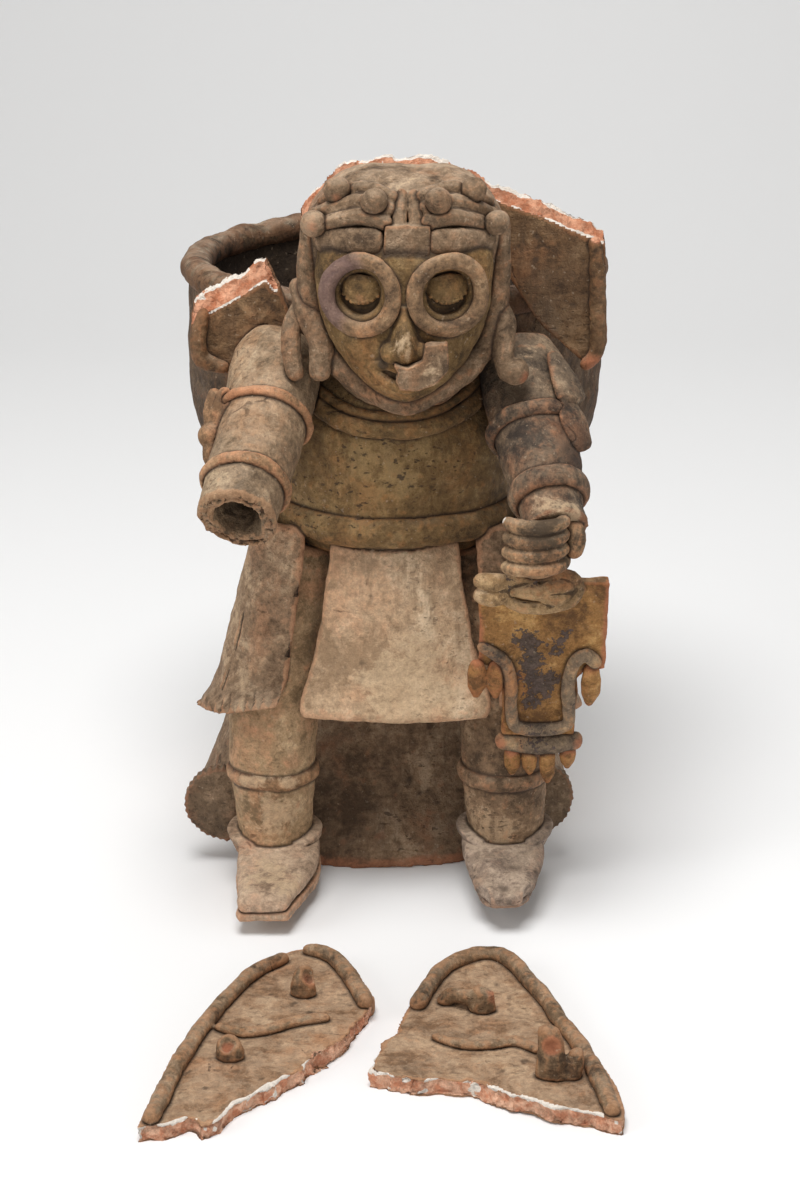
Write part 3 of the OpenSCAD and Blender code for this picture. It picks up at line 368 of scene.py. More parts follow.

# %% [markdown]
# ## Marks of the hand
# A potter presses with a thumb and scores with a stick. Both are moves of the points near
# a place: a press pushes them, a score draws them in along a line. What is painted on a
# piece, such as soot or painted shade, is a value for each point, kept in a channel.

# %% Thumb, stick and brush
channels = {node: {} for node in clay}


def points_of(node):
    """Places in mm and normals of a piece's points."""
    mesh = clay[node].data
    place = np.empty(len(mesh.vertices) * 3, np.float32)
    facing = np.empty(len(mesh.vertices) * 3, np.float32)
    mesh.vertices.foreach_get("co", place)
    mesh.vertices.foreach_get("normal", facing)
    return place.reshape(-1, 3) / MM, facing.reshape(-1, 3)


def set_points(node, place):
    mesh = clay[node].data
    mesh.vertices.foreach_set("co", (place * MM).astype(np.float32).ravel())
    mesh.update()


def near(place, spot, reach):
    """1 at the spot, falling softly to 0 at the reach."""
    far = np.linalg.norm(place - np.array(spot, float), axis=1) / reach
    return np.clip(1 - far * far, 0, 1) ** 2


def near_line(place, line, reach):
    """The same along a line of points."""
    best = np.zeros(len(place))
    for start, end in zip(line, line[1:]):
        start, way = np.array(start, float), np.array(end, float) - np.array(start, float)
        share = np.clip((place - start) @ way / (way @ way), 0, 1)
        far = np.linalg.norm(place - start - share[:, None] * way, axis=1) / reach
        best = np.maximum(best, np.clip(1 - far * far, 0, 1) ** 2)
    return best


def press(node, spot, reach, push):
    place = points_of(node)[0]
    set_points(node, place + near(place, spot, reach)[:, None] * np.array(push, float))


def score(node, line, width, depth):
    place, facing = points_of(node)
    set_points(node, place - near_line(place, line, width)[:, None] * facing * depth)


def brush(node, channel, weight):
    """Add paint, from 0 to 1, to a channel of one piece."""
    before = channels[node].get(channel, 0)
    channels[node][channel] = np.clip(before + weight, 0, 1)


def dab(node, channel, spot, reach, amount=1.0):
    brush(node, channel, amount * near(points_of(node)[0], spot, reach))


print("hand tools ready")

# %% [markdown]
# ## Broken edges
# The headdress snapped off, and so did the right hand and the two pieces in front. A fresh
# break is coarse and orange, with remains of white plaster. The points that lie on a break
# are found by where they are and which way they face, and drawn in by a jagged cloud.

# %% How clay breaks
CRUMBLE = (0.7, 2.1, 4)


def jagged(place, size):
    """Rough values from 0 to 1 at the places, size in mm."""
    return np.array([0.5 + 0.5 * noise.fractal(Vector(p) / size, *CRUMBLE) for p in place])


def step(value, low, high):
    """0 below low, 1 above high, smooth in between."""
    value = np.clip((value - low) / (high - low), 0, 1)
    return value * value * (3 - 2 * value)


def fracture(node, share, depth, plaster, rim=0):
    """Roughen a piece where share is above 0 and note its break and its plaster.

    The rim is where the plaster stays as a white line."""
    place, facing = points_of(node)
    where = np.nonzero(share > 0.02)[0]
    rough = np.zeros(len(place))
    coarse, crumbs = jagged(place[where], 9.0), jagged(place[where] + 50, 3.0)
    rough[where] = np.clip(1.7 * coarse - 0.35, 0, 1.3) + 0.4 * crumbs
    white = np.zeros(len(place))
    white[where] = np.clip((jagged(place[where] + 200, 14.0) - 1 + plaster) * 6, 0, 1)
    line = np.zeros(len(place)) + rim
    edge = np.nonzero(line > 0.02)[0]
    line[edge] *= np.clip((jagged(place[edge] + 90, 22.0) - 0.42) * 8, 0, 1)
    set_points(node, place - facing * (np.broadcast_to(depth, share.shape) * share * rough)[:, None])
    brush(node, "broken", share)
    brush(node, "plaster", np.maximum(white * share, line))


print("ready to break")

# %% [markdown]
# The slab behind the head broke along one slanting face. Points in front of that face are
# moved back onto it, and notches are bitten along its thin top, which keeps its line.

# %% The headdress
SLAB_FRONT, SLAB_BACK = -150, -139
PANEL_TOP = [(-64, 487), (-38, 516), (-8, 521), (24, 521), (50, 511), (68, 502), (98, 491), (143, 473)]
STUB_TOP = [(-138, 423), (-112, 437), (-87, 453), (-82, 446)]
NOTCH_LENGTH, NOTCH_DEPTH = 12.0, 7
for node, top, slant in (("headdress_panel", PANEL_TOP, 12), ("right_wing_stub", STUB_TOP, 18)):
    place = points_of(node)[0]
    below = np.interp(place[:, 0], *zip(*top)) - place[:, 2]
    inside = (place[:, 0] < top[-1][0] + 3) * (below < slant)
    face = SLAB_FRONT + (SLAB_BACK - 1 - SLAB_FRONT) * (1 - below / slant)
    behind = np.clip(np.maximum(place[:, 1], face), None, SLAB_BACK + 1)
    place[:, 1] = np.where(inside, behind, place[:, 1])
    upper = np.nonzero(inside)[0]
    notch = jagged(np.column_stack([place[upper, 0], 0 * upper, 0 * upper]), NOTCH_LENGTH)
    thin = 1 - np.clip(below[upper] / slant, 0, 1)
    place[upper, 2] -= NOTCH_DEPTH * np.clip(notch - 0.3, 0, 1) * thin
    set_points(node, place)
    share = inside * (np.abs(place[:, 1] - face) < 2.5) * 1.0
    rim = share * np.maximum(step(-below, -3.5, -2), step(below, slant - 3, slant - 1.5))
    fracture(node, share, np.clip(below / 5, 0.1, 1) * 2.4, 0.25, rim)
print("headdress broken,", sum("broken" in paint for paint in channels.values()), "pieces")

# %% [markdown]
# The right forearm ends in a chipped ring, worn less orange than the rest. The two loose
# lobes broke along lines that are given as seen from above: there the edge is bitten
# inwards, its side crumbles, and plaster stays on the rim.

# %% The arm and the loose lobes
ARM_END = np.array([-102, -271, 301.0])
ARM_WAY = np.array([-23, -123, -81.0]) / np.linalg.norm([-23, -123, -81])
place = points_of("right_arm")[0]
fracture("right_arm", step((place - ARM_END) @ ARM_WAY, -6, -1), 5.0, 0.05)
channels["right_arm"]["broken"] *= 0.35

LOBE_BREAK = {
    "right_fragment": [(-10, -386), (-21, -412), (-40, -449), (-58, -470), (-82, -500), (-96, -510),
                       (-104, -528), (-114, -534), (-121, -524), (-135, -534), (-152, -536)],
    "left_fragment": [(139, -528), (122, -522), (99, -517), (76, -505), (52, -490), (28, -484), (4, -481),
                      (-22, -473), (-12, -444), (8, -388)],
}
BITE_LENGTH, BITE_DEPTH, EDGE_REACH = 34.0, 6, 14
for node, line in LOBE_BREAK.items():
    place = points_of(node)[0]
    flat = np.column_stack([place[:, :2], np.zeros(len(place))])
    edge = near_line(flat, [(x, y, 0) for x, y in line], EDGE_REACH)
    inwards = flat.mean(0) - flat
    inwards /= np.linalg.norm(inwards, axis=1)[:, None]
    bite = np.zeros(len(place))
    close = np.nonzero(edge > 0.01)[0]
    bite[close] = np.clip(2.4 * jagged(flat[close], BITE_LENGTH) - 0.7, 0, 1) * edge[close]
    set_points(node, place + inwards * (BITE_DEPTH * bite)[:, None])
    facing = points_of(node)[1]
    share = step(edge, 0.4, 0.7) * step(-np.abs(facing[:, 2]), -0.9, -0.6)
    rim = step(edge, 0.86, 0.94) * step(facing[:, 2], 0.25, 0.45) * step(-place[:, 1], 430, 460)
    fracture(node, share, 2.8, 0.35, rim)
print("breaks on", [node for node in channels if "broken" in channels[node]])

# %% [markdown]
# ## Thumbs and sticks at work
# The lip of the bowl was pinched all the way round, and the rosettes are slightly domed.
# A stick left one nick in a rosette and the long seam of the right flap.


# %% Lip, rosettes and seam
def groove(node, line, width, depth):
    """A scored line that keeps its dirt."""
    score(node, line, width, depth)
    brush(node, "joint", near_line(points_of(node)[0], line, 1.6 * width))


chance = random.Random(11)
LIP_R, LIP_Z, PINCHES = 146, 424, 40
for k in range(PINCHES):
    turn = math.radians(360 / PINCHES * k + chance.uniform(-3, 3))
    spot = (LIP_R * math.cos(turn), LIP_R * math.sin(turn), LIP_Z)
    push = (chance.uniform(-1.5, 1.5), chance.uniform(-1.5, 1.5), chance.uniform(-2.2, 0.2))
    press("rim_coil", spot, chance.uniform(12, 24), push)
press("right_rosette", (-124, -151, 47), 30, (0, -4, 0))
press("left_rosette", (101, -151, 52), 30, (0, -4, 0))
groove("right_rosette", [(-112, -153, 30), (-110, -151, 17)], 3, 3)
groove("right_hip_flap", [(-91, -166, 262), (-104, -171, 205), (-122, -179, 150)], 2.2, 2.2)
print(PINCHES, "pinches")

# %% [markdown]
# The eyes are closed. Below an even lid line the ball is set back, and a row of clay
# pellets is pressed along the lid, modelled as small balls that are netted together with
# it. The goggle rings open a little wider towards the eye.


# %% Eyes and goggles
def pellets(node, spots, radius):
    """Press small balls of clay onto a piece and net them together."""
    balls = []
    for spot in spots:
        bpy.ops.object.select_all(action="DESELECT")
        bpy.ops.mesh.primitive_uv_sphere_add(segments=14, ring_count=8, radius=radius * MM,
                                             location=[c * MM for c in spot])
        bpy.ops.object.transform_apply(location=True, rotation=False, scale=False)
        balls.append(bpy.context.object)
    alone(clay[node])
    for ball in balls:
        ball.select_set(True)
    bpy.ops.object.join()
    shape_with(clay[node], "REMESH", mode="VOXEL", voxel_size=0.6 * MM)
    shape_with(clay[node], "SMOOTH", factor=0.5, iterations=1)
    alone(clay[node])
    bpy.ops.object.shade_smooth()


HALF_LID = [(0, -7, -6.4), (2.8, -6.5, -6), (5.6, -5.5, -5), (8.4, -4, -3), (11, -2, 0)]
LID = [(-x, y, z) for x, y, z in HALF_LID[:0:-1]] + HALF_LID
LID_CURVE, LID_LOW, LID_STEP, PELLET_R = 0.053, 7.5, 5, 1.6
FACE_X, EYE_X, EYE_Y, EYE_Z, EYE_TURN = 7, 27.5, -226, 444.5, 20
RING_R, RING_WIDTH, RING_OPEN = 27, 12, 1.8
for side, node in ((-1, "right_eye"), (1, "left_eye")):
    middle_x, turn = FACE_X + EYE_X * side, math.radians(EYE_TURN * side)
    place = points_of(node)[0]
    lid_line = LID_CURVE * (place[:, 0] - middle_x) ** 2 - LID_LOW
    place[:, 1] += LID_STEP * step(lid_line - (place[:, 2] - EYE_Z), 0, 2.5)
    set_points(node, place)
    ring = node.replace("eye", "goggle")
    place = points_of(ring)[0]
    out = place - np.array([middle_x, 0, EYE_Z])
    out[:, 1] = 0
    wide = np.linalg.norm(out, axis=1)
    opening = RING_OPEN * np.clip((RING_R - wide) / RING_WIDTH, 0, 1) / wide
    set_points(ring, place + out * opening[:, None])
    faces = [p.vertices[:] for p in clay[node].data.polygons]
    skin = BVHTree.FromPolygons(points_of(node)[0].tolist(), faces)
    spots = []
    for x, y, z in LID:
        spots.append(skin.find_nearest((middle_x + x * math.cos(turn) - y * math.sin(turn),
                                        EYE_Y + x * math.sin(turn) + y * math.cos(turn), EYE_Z + z))[0])
    pellets(node, spots, PELLET_R)
print(len(LID), "pellets on each lid")

# %% [markdown]
# Cheeks and chin are filled out with a thumb. The posts on the loose lobes are stubs of
# struts: each is pressed out of round, and its broken top shows orange clay.

# %% Cheeks and posts
CHEEK_Z, CHEEKS_X = 404, (-26, 40)
for x in CHEEKS_X:
    press("face", (x, -234, CHEEK_Z), 18, (0, -2.5, 0))
press("face", (FACE_X, -231, 380), 9, (0, -2, 0))
press("left_fragment_trim", (96, -487, 34), 9, (0, 6, 0))
press("left_fragment_trim", (109, -478, 30), 9, (0, 0, -6))
press("left_fragment_trim", (60, -390, 27), 8, (2, 0, -5))
press("right_fragment_trim", (-52, -374, 28), 9, (-3, 2, -6))
press("right_fragment_trim", (-103, -455, 22), 7, (0, 3, -6))
POST_TOPS = [("left_fragment_trim", (97, -483, 36), 10), ("right_fragment_trim", (-54, -374, 24), 10),
             ("right_fragment_trim", (-103, -455, 18), 8), ("left_fragment_trim", (63, -391, 20), 9)]
for node, spot, reach in POST_TOPS:
    dab(node, "tint", spot, reach, 0.8)
print(len(POST_TOPS), "posts")

# %% [markdown]
# The heel guards of the sandals are low, so what stands above the instep is pressed down.
# The left toe is worn to a lump that hides its sole, and the right flap's hem turns out.

# %% Sandals and hem
INSTEP, GUARD_SHARE = {"right_foot": 36, "left_foot": 39}, 0.4
for node, instep in INSTEP.items():
    place = points_of(node)[0]
    lowered = instep + GUARD_SHARE * (place[:, 2] - instep)
    place[:, 2] = np.where(place[:, 2] > instep, lowered, place[:, 2])
    set_points(node, place)
for spot, reach, push in (((54, -262, 26), 15, (5, 6, 2)), ((100, -258, 26), 14, (-5, 5, 2)),
                          ((64, -228, 38), 14, (0, -1, 3)), ((88, -226, 40), 18, (0, 0, -3.5)),
                          ((76, -256, 36), 12, (0, 0, -3))):
    press("left_foot", spot, reach, push)
SOLE_X, HEEL_Y, SOLE_NARROW, SOLE_SHORT = 77, -150, 0.84, 0.93
place = points_of("left_sole")[0]
place[:, 0] = SOLE_X + SOLE_NARROW * (place[:, 0] - SOLE_X)
place[:, 1] = HEEL_Y + SOLE_SHORT * (place[:, 1] - HEEL_Y)
set_points("left_sole", place)
HEM_COLUMN, HEM_REACH, HEM_PUSH = 6, 15, np.array([-4, -8, 2])
place = points_of("right_hip_flap")[0]
column = np.floor(place[:, 0] / HEM_COLUMN).astype(int)
column -= column.min()
hem = np.full(column.max() + 1, 999.0)
np.minimum.at(hem, column, place[:, 2])
turned_out = np.clip(1 - (place[:, 2] - hem[column]) / HEM_REACH, 0, 1) ** 2
set_points("right_hip_flap", place + turned_out[:, None] * HEM_PUSH)
print("hem in", len(hem), "columns")

# %% [markdown]
# ## Where dirt gathers
# Soil stays in hollows and along the joints, and rubbed edges show fresh clay. Two values
# record this for each point: how far it lies below the softened surface round it, and how
# close the next piece of clay is.


# %% Hollows and joints
def hollows(node, rounds):
    """How deep each point lies in mm below its neighbours' softened places."""
    mesh = clay[node].data
    place, facing = points_of(node)
    ends = np.empty(len(mesh.edges) * 2, np.int32)
    mesh.edges.foreach_get("vertices", ends)
    first, second = ends.reshape(-1, 2).T
    count = np.bincount(ends, minlength=len(place))[:, None]
    soft = place.astype(float)
    for _ in range(rounds):
        soft = np.column_stack([
            np.bincount(first, soft[second, k], len(place)) + np.bincount(second, soft[first, k], len(place))
            for k in range(3)]) / count
    return ((soft - place) * facing).sum(1)


JOINT_REACH, HOLLOW_ROUNDS, DIP_ROUNDS = 6.0, 5, 40
trees, boxes = {}, {}
for node, piece in clay.items():
    place = points_of(node)[0]
    trees[node] = BVHTree.FromPolygons(place.tolist(), [p.vertices[:] for p in piece.data.polygons])
    boxes[node] = (place.min(0) - JOINT_REACH, place.max(0) + JOINT_REACH)
for node in clay:
    place = points_of(node)[0]
    closest = np.full(len(place), JOINT_REACH)
    for other in clay:
        apart = np.any(boxes[node][0] > boxes[other][1]) or np.any(boxes[other][0] > boxes[node][1])
        if other == node or apart:
            continue
        inside = np.all((place > boxes[other][0]) & (place < boxes[other][1]), axis=1)
        for k in np.nonzero(inside)[0]:
            gap = trees[other].find_nearest(place[k], closest[k])[3]
            if gap is not None:
                closest[k] = gap
    brush(node, "joint", 1 - closest / JOINT_REACH)
    channels[node]["hollow"] = hollows(node, HOLLOW_ROUNDS)
    channels[node]["dip"] = hollows(node, DIP_ROUNDS)
# The deep eye holes would go black, and the knot's grooves would stay too clean
for node in ("right_eye", "left_eye", "right_goggle", "left_goggle"):
    channels[node]["joint"] *= 0.35
    channels[node]["dip"] *= 0.4
channels["bag_handle"]["dip"] *= 2
print("joints and hollows measured")

# %% [markdown]
# ## Painted shade, dust, painted top light and worn feet
# The inside of the bowl is painted black, and the bell darker towards the bottom: both are
# painted shade. The bell's foot is worn to the orange clay. All that faces upwards is
# painted paler: dust, and painted light from above.

# %% Painted shade, dust and painted top light
# Painted shade: the inward faces and the floor of the bowl are painted black
place, facing = points_of("fire_bowl")
inward = -(place[:, :2] * facing[:, :2]).sum(1) / np.linalg.norm(place[:, :2], axis=1).clip(1)
floor = facing[:, 2] > 0.6
brush("fire_bowl", "soot_and_shade", 0.85 * step(inward + 0.8 * floor, 0.1, 0.5))
# Painted shade: the bell is painted darker towards the bottom
height = points_of("base_drum")[0][:, 2]
brush("base_drum", "soot_and_shade", 0.3 * step(-height, -80, -45))
brush("base_drum", "tint", 0.5 * step(-height, -12, -5))
# Upward faces get a paler tone: dust, and painted light from above
for node in clay:
    channels[node]["dust_and_top_light"] = step(points_of(node)[1][:, 2], 0.25, 0.95)
print("dust on", len(clay), "pieces")

# %% [markdown]
# ## Stains, slip and pale wash
# Fire clouds, worn orange spots, remains of a pale wash and flakes of dark slip sit where
# they are seen on the figure, and one black dab on the face is painted shade in a nostril.
# Each is a dab: a piece, a place, a reach in mm, a strength.

# %% Dabs on the figure
DABS = {
    "soot_and_shade": [("left_arm", (120, -225, 330), 34, 0.7), ("left_arm", (84, -205, 365), 30, 0.5),
             ("left_upper_band", (92, -212, 352), 24, 0.6), ("left_arm_tassel", (126, -212, 340), 22, 0.5),
             ("torso", (10, -196, 345), 60, 0.3), ("left_fingers", (92, -280, 296), 20, 0.6),
             # The small black dab on the face is painted shade: a nostril hole
             ("headdress_panel", (105, -150, 415), 60, 0.5), ("face", (-7, -238, 400), 7, 1.0)],
    "stain": [("right_goggle", (-40, -235, 458), 34, 1.0), ("right_goggle", (-44, -232, 428), 24, 0.8)],
    "plaster": [("left_fingers", (71, -262, 302), 6, 0.9)],
    "broken": [("wing_coils", (136, -155, 466), 8, 0.8)],
    "tint": [("brow_knobs", (-37, -212, 504), 8, 0.6), ("brow_knobs", (-52, -218, 486), 8, 0.4),
             ("left_ear_loop", (86, -210, 384), 9, 0.8), ("wing_coils", (136, -155, 380), 14, 0.8),
             ("left_fragment_trim", (96, -482, 34), 9, 0.9),
             ("right_eye", (-20, -230, 442), 12, 0.35), ("left_eye", (34, -230, 442), 12, 0.35),
             ("right_foot", (-100, -230, 38), 16, 0.45), ("right_foot", (-106, -205, 44), 20, 0.45),
             ("right_foot", (-68, -214, 40), 12, 0.45), ("right_foot", (-96, -262, 24), 14, 0.45),
             ("right_leg", (-92, -204, 118), 22, 0.45), ("right_leg", (-70, -200, 104), 18, 0.45),
             ("right_leg", (-106, -192, 128), 18, 0.45)],
    "wash": [("left_arm", (105, -256, 300), 26, 0.9), ("left_arm", (91, -190, 404), 34, 0.6),
             ("face", (7, -250, 415), 20, 0.5), ("apron", (10, -215, 165), 62, 0.8),
             ("nose_plate", (27, -252, 402), 30, 0.4), ("right_leg", (-86, -205, 66), 34, 0.75),
             ("right_foot", (-86, -240, 36), 40, 0.6), ("right_arm", (-96, -250, 325), 34, 0.5),
             ("hood", (7, -190, 515), 40, 0.3)]
            + [("right_garter", (x, -205, 88), 14, 0.55) for x in (-108, -92, -76, -62)],
}
for layer, spots in DABS.items():
    for node, spot, reach, amount in spots:
        dab(node, layer, spot, reach, amount)
print({layer: len(spots) for layer, spots in DABS.items()})

# %% [markdown]
# The bag was painted most: a large flaked patch of dark slip on its plate, slip on strip,
# band and knot, and worn orange edges and tassel ends. It hangs at a slope, so its dabs
# are given on the bag itself, across and up from its top, with reach and strength.


# %% Dabs on the bag
def on_bag(x, z):
    """A place on the bag's front, measured on the bag."""
    slope = math.radians(16)
    return (100 + x, -252 - z * math.sin(slope), 260 + z * math.cos(slope))


PLATE_SLIP = [(-12, -52, 15), (-2, -58, 14), (14, -48, 10), (10, -62, 10), (-6, -70, 14), (-10, -86, 14),
              (2, -92, 17), (-7, -106, 15), (10, -84, 10)]
BAG_DABS = {
    ("bag_plate", "slip"): [(x, z, reach, 0.7) for x, z, reach in PLATE_SLIP],
    ("bag_tassels", "tint"): [(x, z, 12, 0.9) for x, z in
                              ((-43, -70), (-30, -70), (-18, -148), (21, -146), (34, -76))],
    ("bag_band", "tint"): [(-26, -143, 9, 0.8), (27, -142, 9, 0.8)],
    ("bag_band", "slip"): [(0, -144, 18, 0.6)],
    ("bag_strip", "slip"): [(-32, -64, 14, 0.5), (0, -129, 20, 0.5)],
    ("bag_handle", "tint"): [(-40, -4, 12, 0.6), (-40, -15, 12, 0.5)],
    ("bag_handle", "wash"): [(-36, -10, 20, 0.8)],
    ("bag_handle", "slip"): [(-8, -10, 14, 0.6)] + [(x, z, 11, 0.6) for x, z in
                             ((12, -8), (22, -18), (-14, -20), (2, -22), (-22, -4))],
}
for (node, layer), spots in BAG_DABS.items():
    for x, z, reach, amount in spots:
        dab(node, layer, on_bag(x, z), reach, amount)
PLATE_EDGES = ([(46, -8), (45, -78), (30, -84)], [(-44, -36), (-44, -74)])
for edge in PLATE_EDGES:
    worn = near_line(points_of("bag_plate")[0], [on_bag(x, z) for x, z in edge], 9)
    brush("bag_plate", "tint", 0.9 * worn)
print(sum(len(spots) for spots in BAG_DABS.values()), "dabs on the bag")

# %% [markdown]
# ## Fired clay
# All the pieces were fired together, so one recipe serves for every finish, and only the
# tones change. It is built in layers, each a small function: first the clouds and painted
# patches that the layers are mixed from.


# %% Clouds and patches
def cloud(place, scale, detail=4.0, rough=0.6, warp=0.0):
    return place.node("ShaderNodeTexNoise", {}, {"Vector": place, "Scale": scale, "Detail": detail,
                                                 "Roughness": rough, "Distortion": warp})


def shifted(place, move, size=(1, 1, 1)):
    return place.node("ShaderNodeMapping", {}, {"Vector": place, "Location": move, "Scale": size})


def channel(wire, name):
    return wire.node("ShaderNodeAttribute", {"attribute_name": name}, {}, out="Fac")


def patch(wire, name, ragged, low, high):
    """Where a painted channel shows, with a ragged edge."""
    paint = channel(wire, name)
    return ramp(paint + ragged, low, high) * ramp(paint, 0.0, 0.12)


def clouds_of(place):
    """The clouds of a finish, from broad to fine; wipe lies flat, runs hang down."""
    return dict(
        broad=cloud(place, 13.0, 7.0, 0.66, 0.6),
        hot=cloud(shifted(place, (5.3, 2.2, 8.1)), 17.0, 6.0, 0.66, 0.5),
        middle=cloud(shifted(place, (3.1, 1.7, 0.4)), 44.0, 6.0, 0.68, 0.5),
        wipe=cloud(shifted(place, (0.9, 0.1, 0.5), (16, 150, 200)), 1.0, 4.0, 0.65),
        runs=cloud(shifted(place, (0.3, 0.6, 0.2), (120, 120, 9)), 1.0, 4.0, 0.65),
        small=cloud(place, 230.0, 4.0, 0.68),
        fine=cloud(shifted(place, (0.7, 0.2, 0.9)), 850.0, 3.0, 0.68))


# The pale dust tone is also painted light on upward faces, and the tone of pale grit
BREAK_DIRT, SOIL, DUST_AND_TOP_LIGHT, BLACK = rgb(134, 94, 70), rgb(58, 44, 33), rgb(190, 168, 142), rgb(50, 42, 36)
STAIN, TINT, WASH, PLASTER = rgb(112, 88, 84), rgb(172, 108, 76), rgb(188, 162, 130), rgb(226, 216, 204)
SLIP, SLIP_WORN = rgb(56, 49, 48), rgb(82, 70, 66)
print("clouds and colours ready")

# %% [markdown]
# The first layers are the fire's and the soil's: three tones in soft clouds, warm spots
# where it was hot, dark runs, dust and painted light on top, warm clay on rubbed edges,
# and soil in the hollows and joints.


# %% Fire and soil
def fired(sky, dark, mid, light, warm, warm_share, streak):
    """Three tones, warm spots and dark runs."""
    tone = 0.42 * sky["broad"] + 0.3 * sky["middle"] + 0.08 * sky["wipe"] + 0.13 * sky["small"]
    tone = tone + 0.07 * sky["fine"]
    colour = blend(ramp(tone, 0.42, 0.51), dark, mid)
    colour = blend(ramp(tone, 0.5, 0.58), colour, light)
    colour = blend(ramp(sky["hot"] + 0.2 * (sky["small"] - 0.5), 0.5, 0.68) * warm_share, colour, warm)
    return blend(ramp(sky["runs"], 0.48, 0.72) * streak, colour, dark)


def buried(colour, sky, warm, dust_and_top_light):
    """Dust and painted top light, rubbed edges, soil in hollows and along joints."""
    middle, small = sky["middle"], sky["small"]
    # Paler upward faces: dust, and painted light from above
    colour = blend(channel(colour, "dust_and_top_light") * ramp(middle, 0.35, 0.6) * dust_and_top_light, colour, DUST_AND_TOP_LIGHT)
    hollow = channel(colour, "hollow")
    rubbed = ramp(0.7 * (middle - 0.5) + 0.4 * (small - 0.5) - hollow, 0.16, 0.42)
    colour = blend(rubbed * 0.5, colour, warm)
    soil = ramp(hollow + 0.25 * channel(colour, "dip") + 0.25 * (small - 0.5), 0.1, 0.46)
    colour = blend(soil * 0.75, colour, SOIL)
    joint = ramp(channel(colour, "joint") + 0.5 * (middle - 0.5), 0.55, 1.0)
    return blend(joint * 0.85, colour, SOIL)


print("fire and soil ready")

# %% [markdown]
# Over them come the painted patches, with ragged edges, a few hairline cracks, dark and
# pale grit, and last the broken faces with their plaster.


# %% Paint, cracks and breaks
def cracks(place, sky):
    """Thin lines between wandering cells, only where the fire was hot."""
    wander = place.node("ShaderNodeVectorMath", {"operation": "ADD"}, {0: place, 1: place.node(
        "ShaderNodeTexNoise", {}, {"Vector": place, "Scale": 30.0, "Detail": 3.0}, out="Color") * 0.03})
    cells = wander.node("ShaderNodeTexVoronoi", {"feature": "DISTANCE_TO_EDGE"},
                        {"Vector": wander, "Scale": 20.0})
    return ramp(1 - cells, 0.982, 0.996) * ramp(sky["hot"], 0.6, 0.66)


def painted(colour, sky, crack, slip):
    """Wash, cracks, soot and painted shade, stains, worn spots and dark slip."""
    middle, small = sky["middle"] - 0.5, sky["small"] - 0.5
    wash = patch(colour, "wash", 1.6 * middle + 0.8 * small, 0.3, 0.6)
    colour = blend(wash * 0.7, colour, WASH)
    colour = blend(crack * 0.55, colour, SOIL)
    ragged = 0.9 * middle + 0.4 * small
    # Black patches: soot, and painted shade in the bowl, low on the bell and in a nostril
    colour = blend(patch(colour, "soot_and_shade", ragged, 0.2, 0.8) * 0.75, colour, BLACK)
    colour = blend(patch(colour, "stain", ragged, 0.25, 0.75) * 0.75, colour, STAIN)
    colour = blend(patch(colour, "tint", ragged, 0.2, 0.8) * 0.75, colour, TINT)
    return blend(slip * 0.92, colour, blend(ramp(sky["small"], 0.4, 0.65), SLIP, SLIP_WORN))


def broken_open(colour, place, sky, broken, deep, crumb):
    """Fresh clay on the breaks, and plaster."""
    fresh = blend(ramp(cloud(place, 110.0, 5.0, 0.7), 0.38, 0.6), deep, crumb)
    fresh = blend(ramp(sky["middle"], 0.5, 0.68) * 0.7, fresh, BREAK_DIRT)
    colour = blend(broken, colour, fresh)
    white = ramp(channel(colour, "plaster") + 0.5 * (sky["small"] - 0.5), 0.45, 0.65)
    return blend(white, colour, PLASTER)


print("paint and breaks ready")

# %% [markdown]
# The recipe puts the layers in order and adds what the hand feels: grit, wiped strokes,
# cracks and crumbs go to a bump, and smooth spots shine a little more than rough ones.


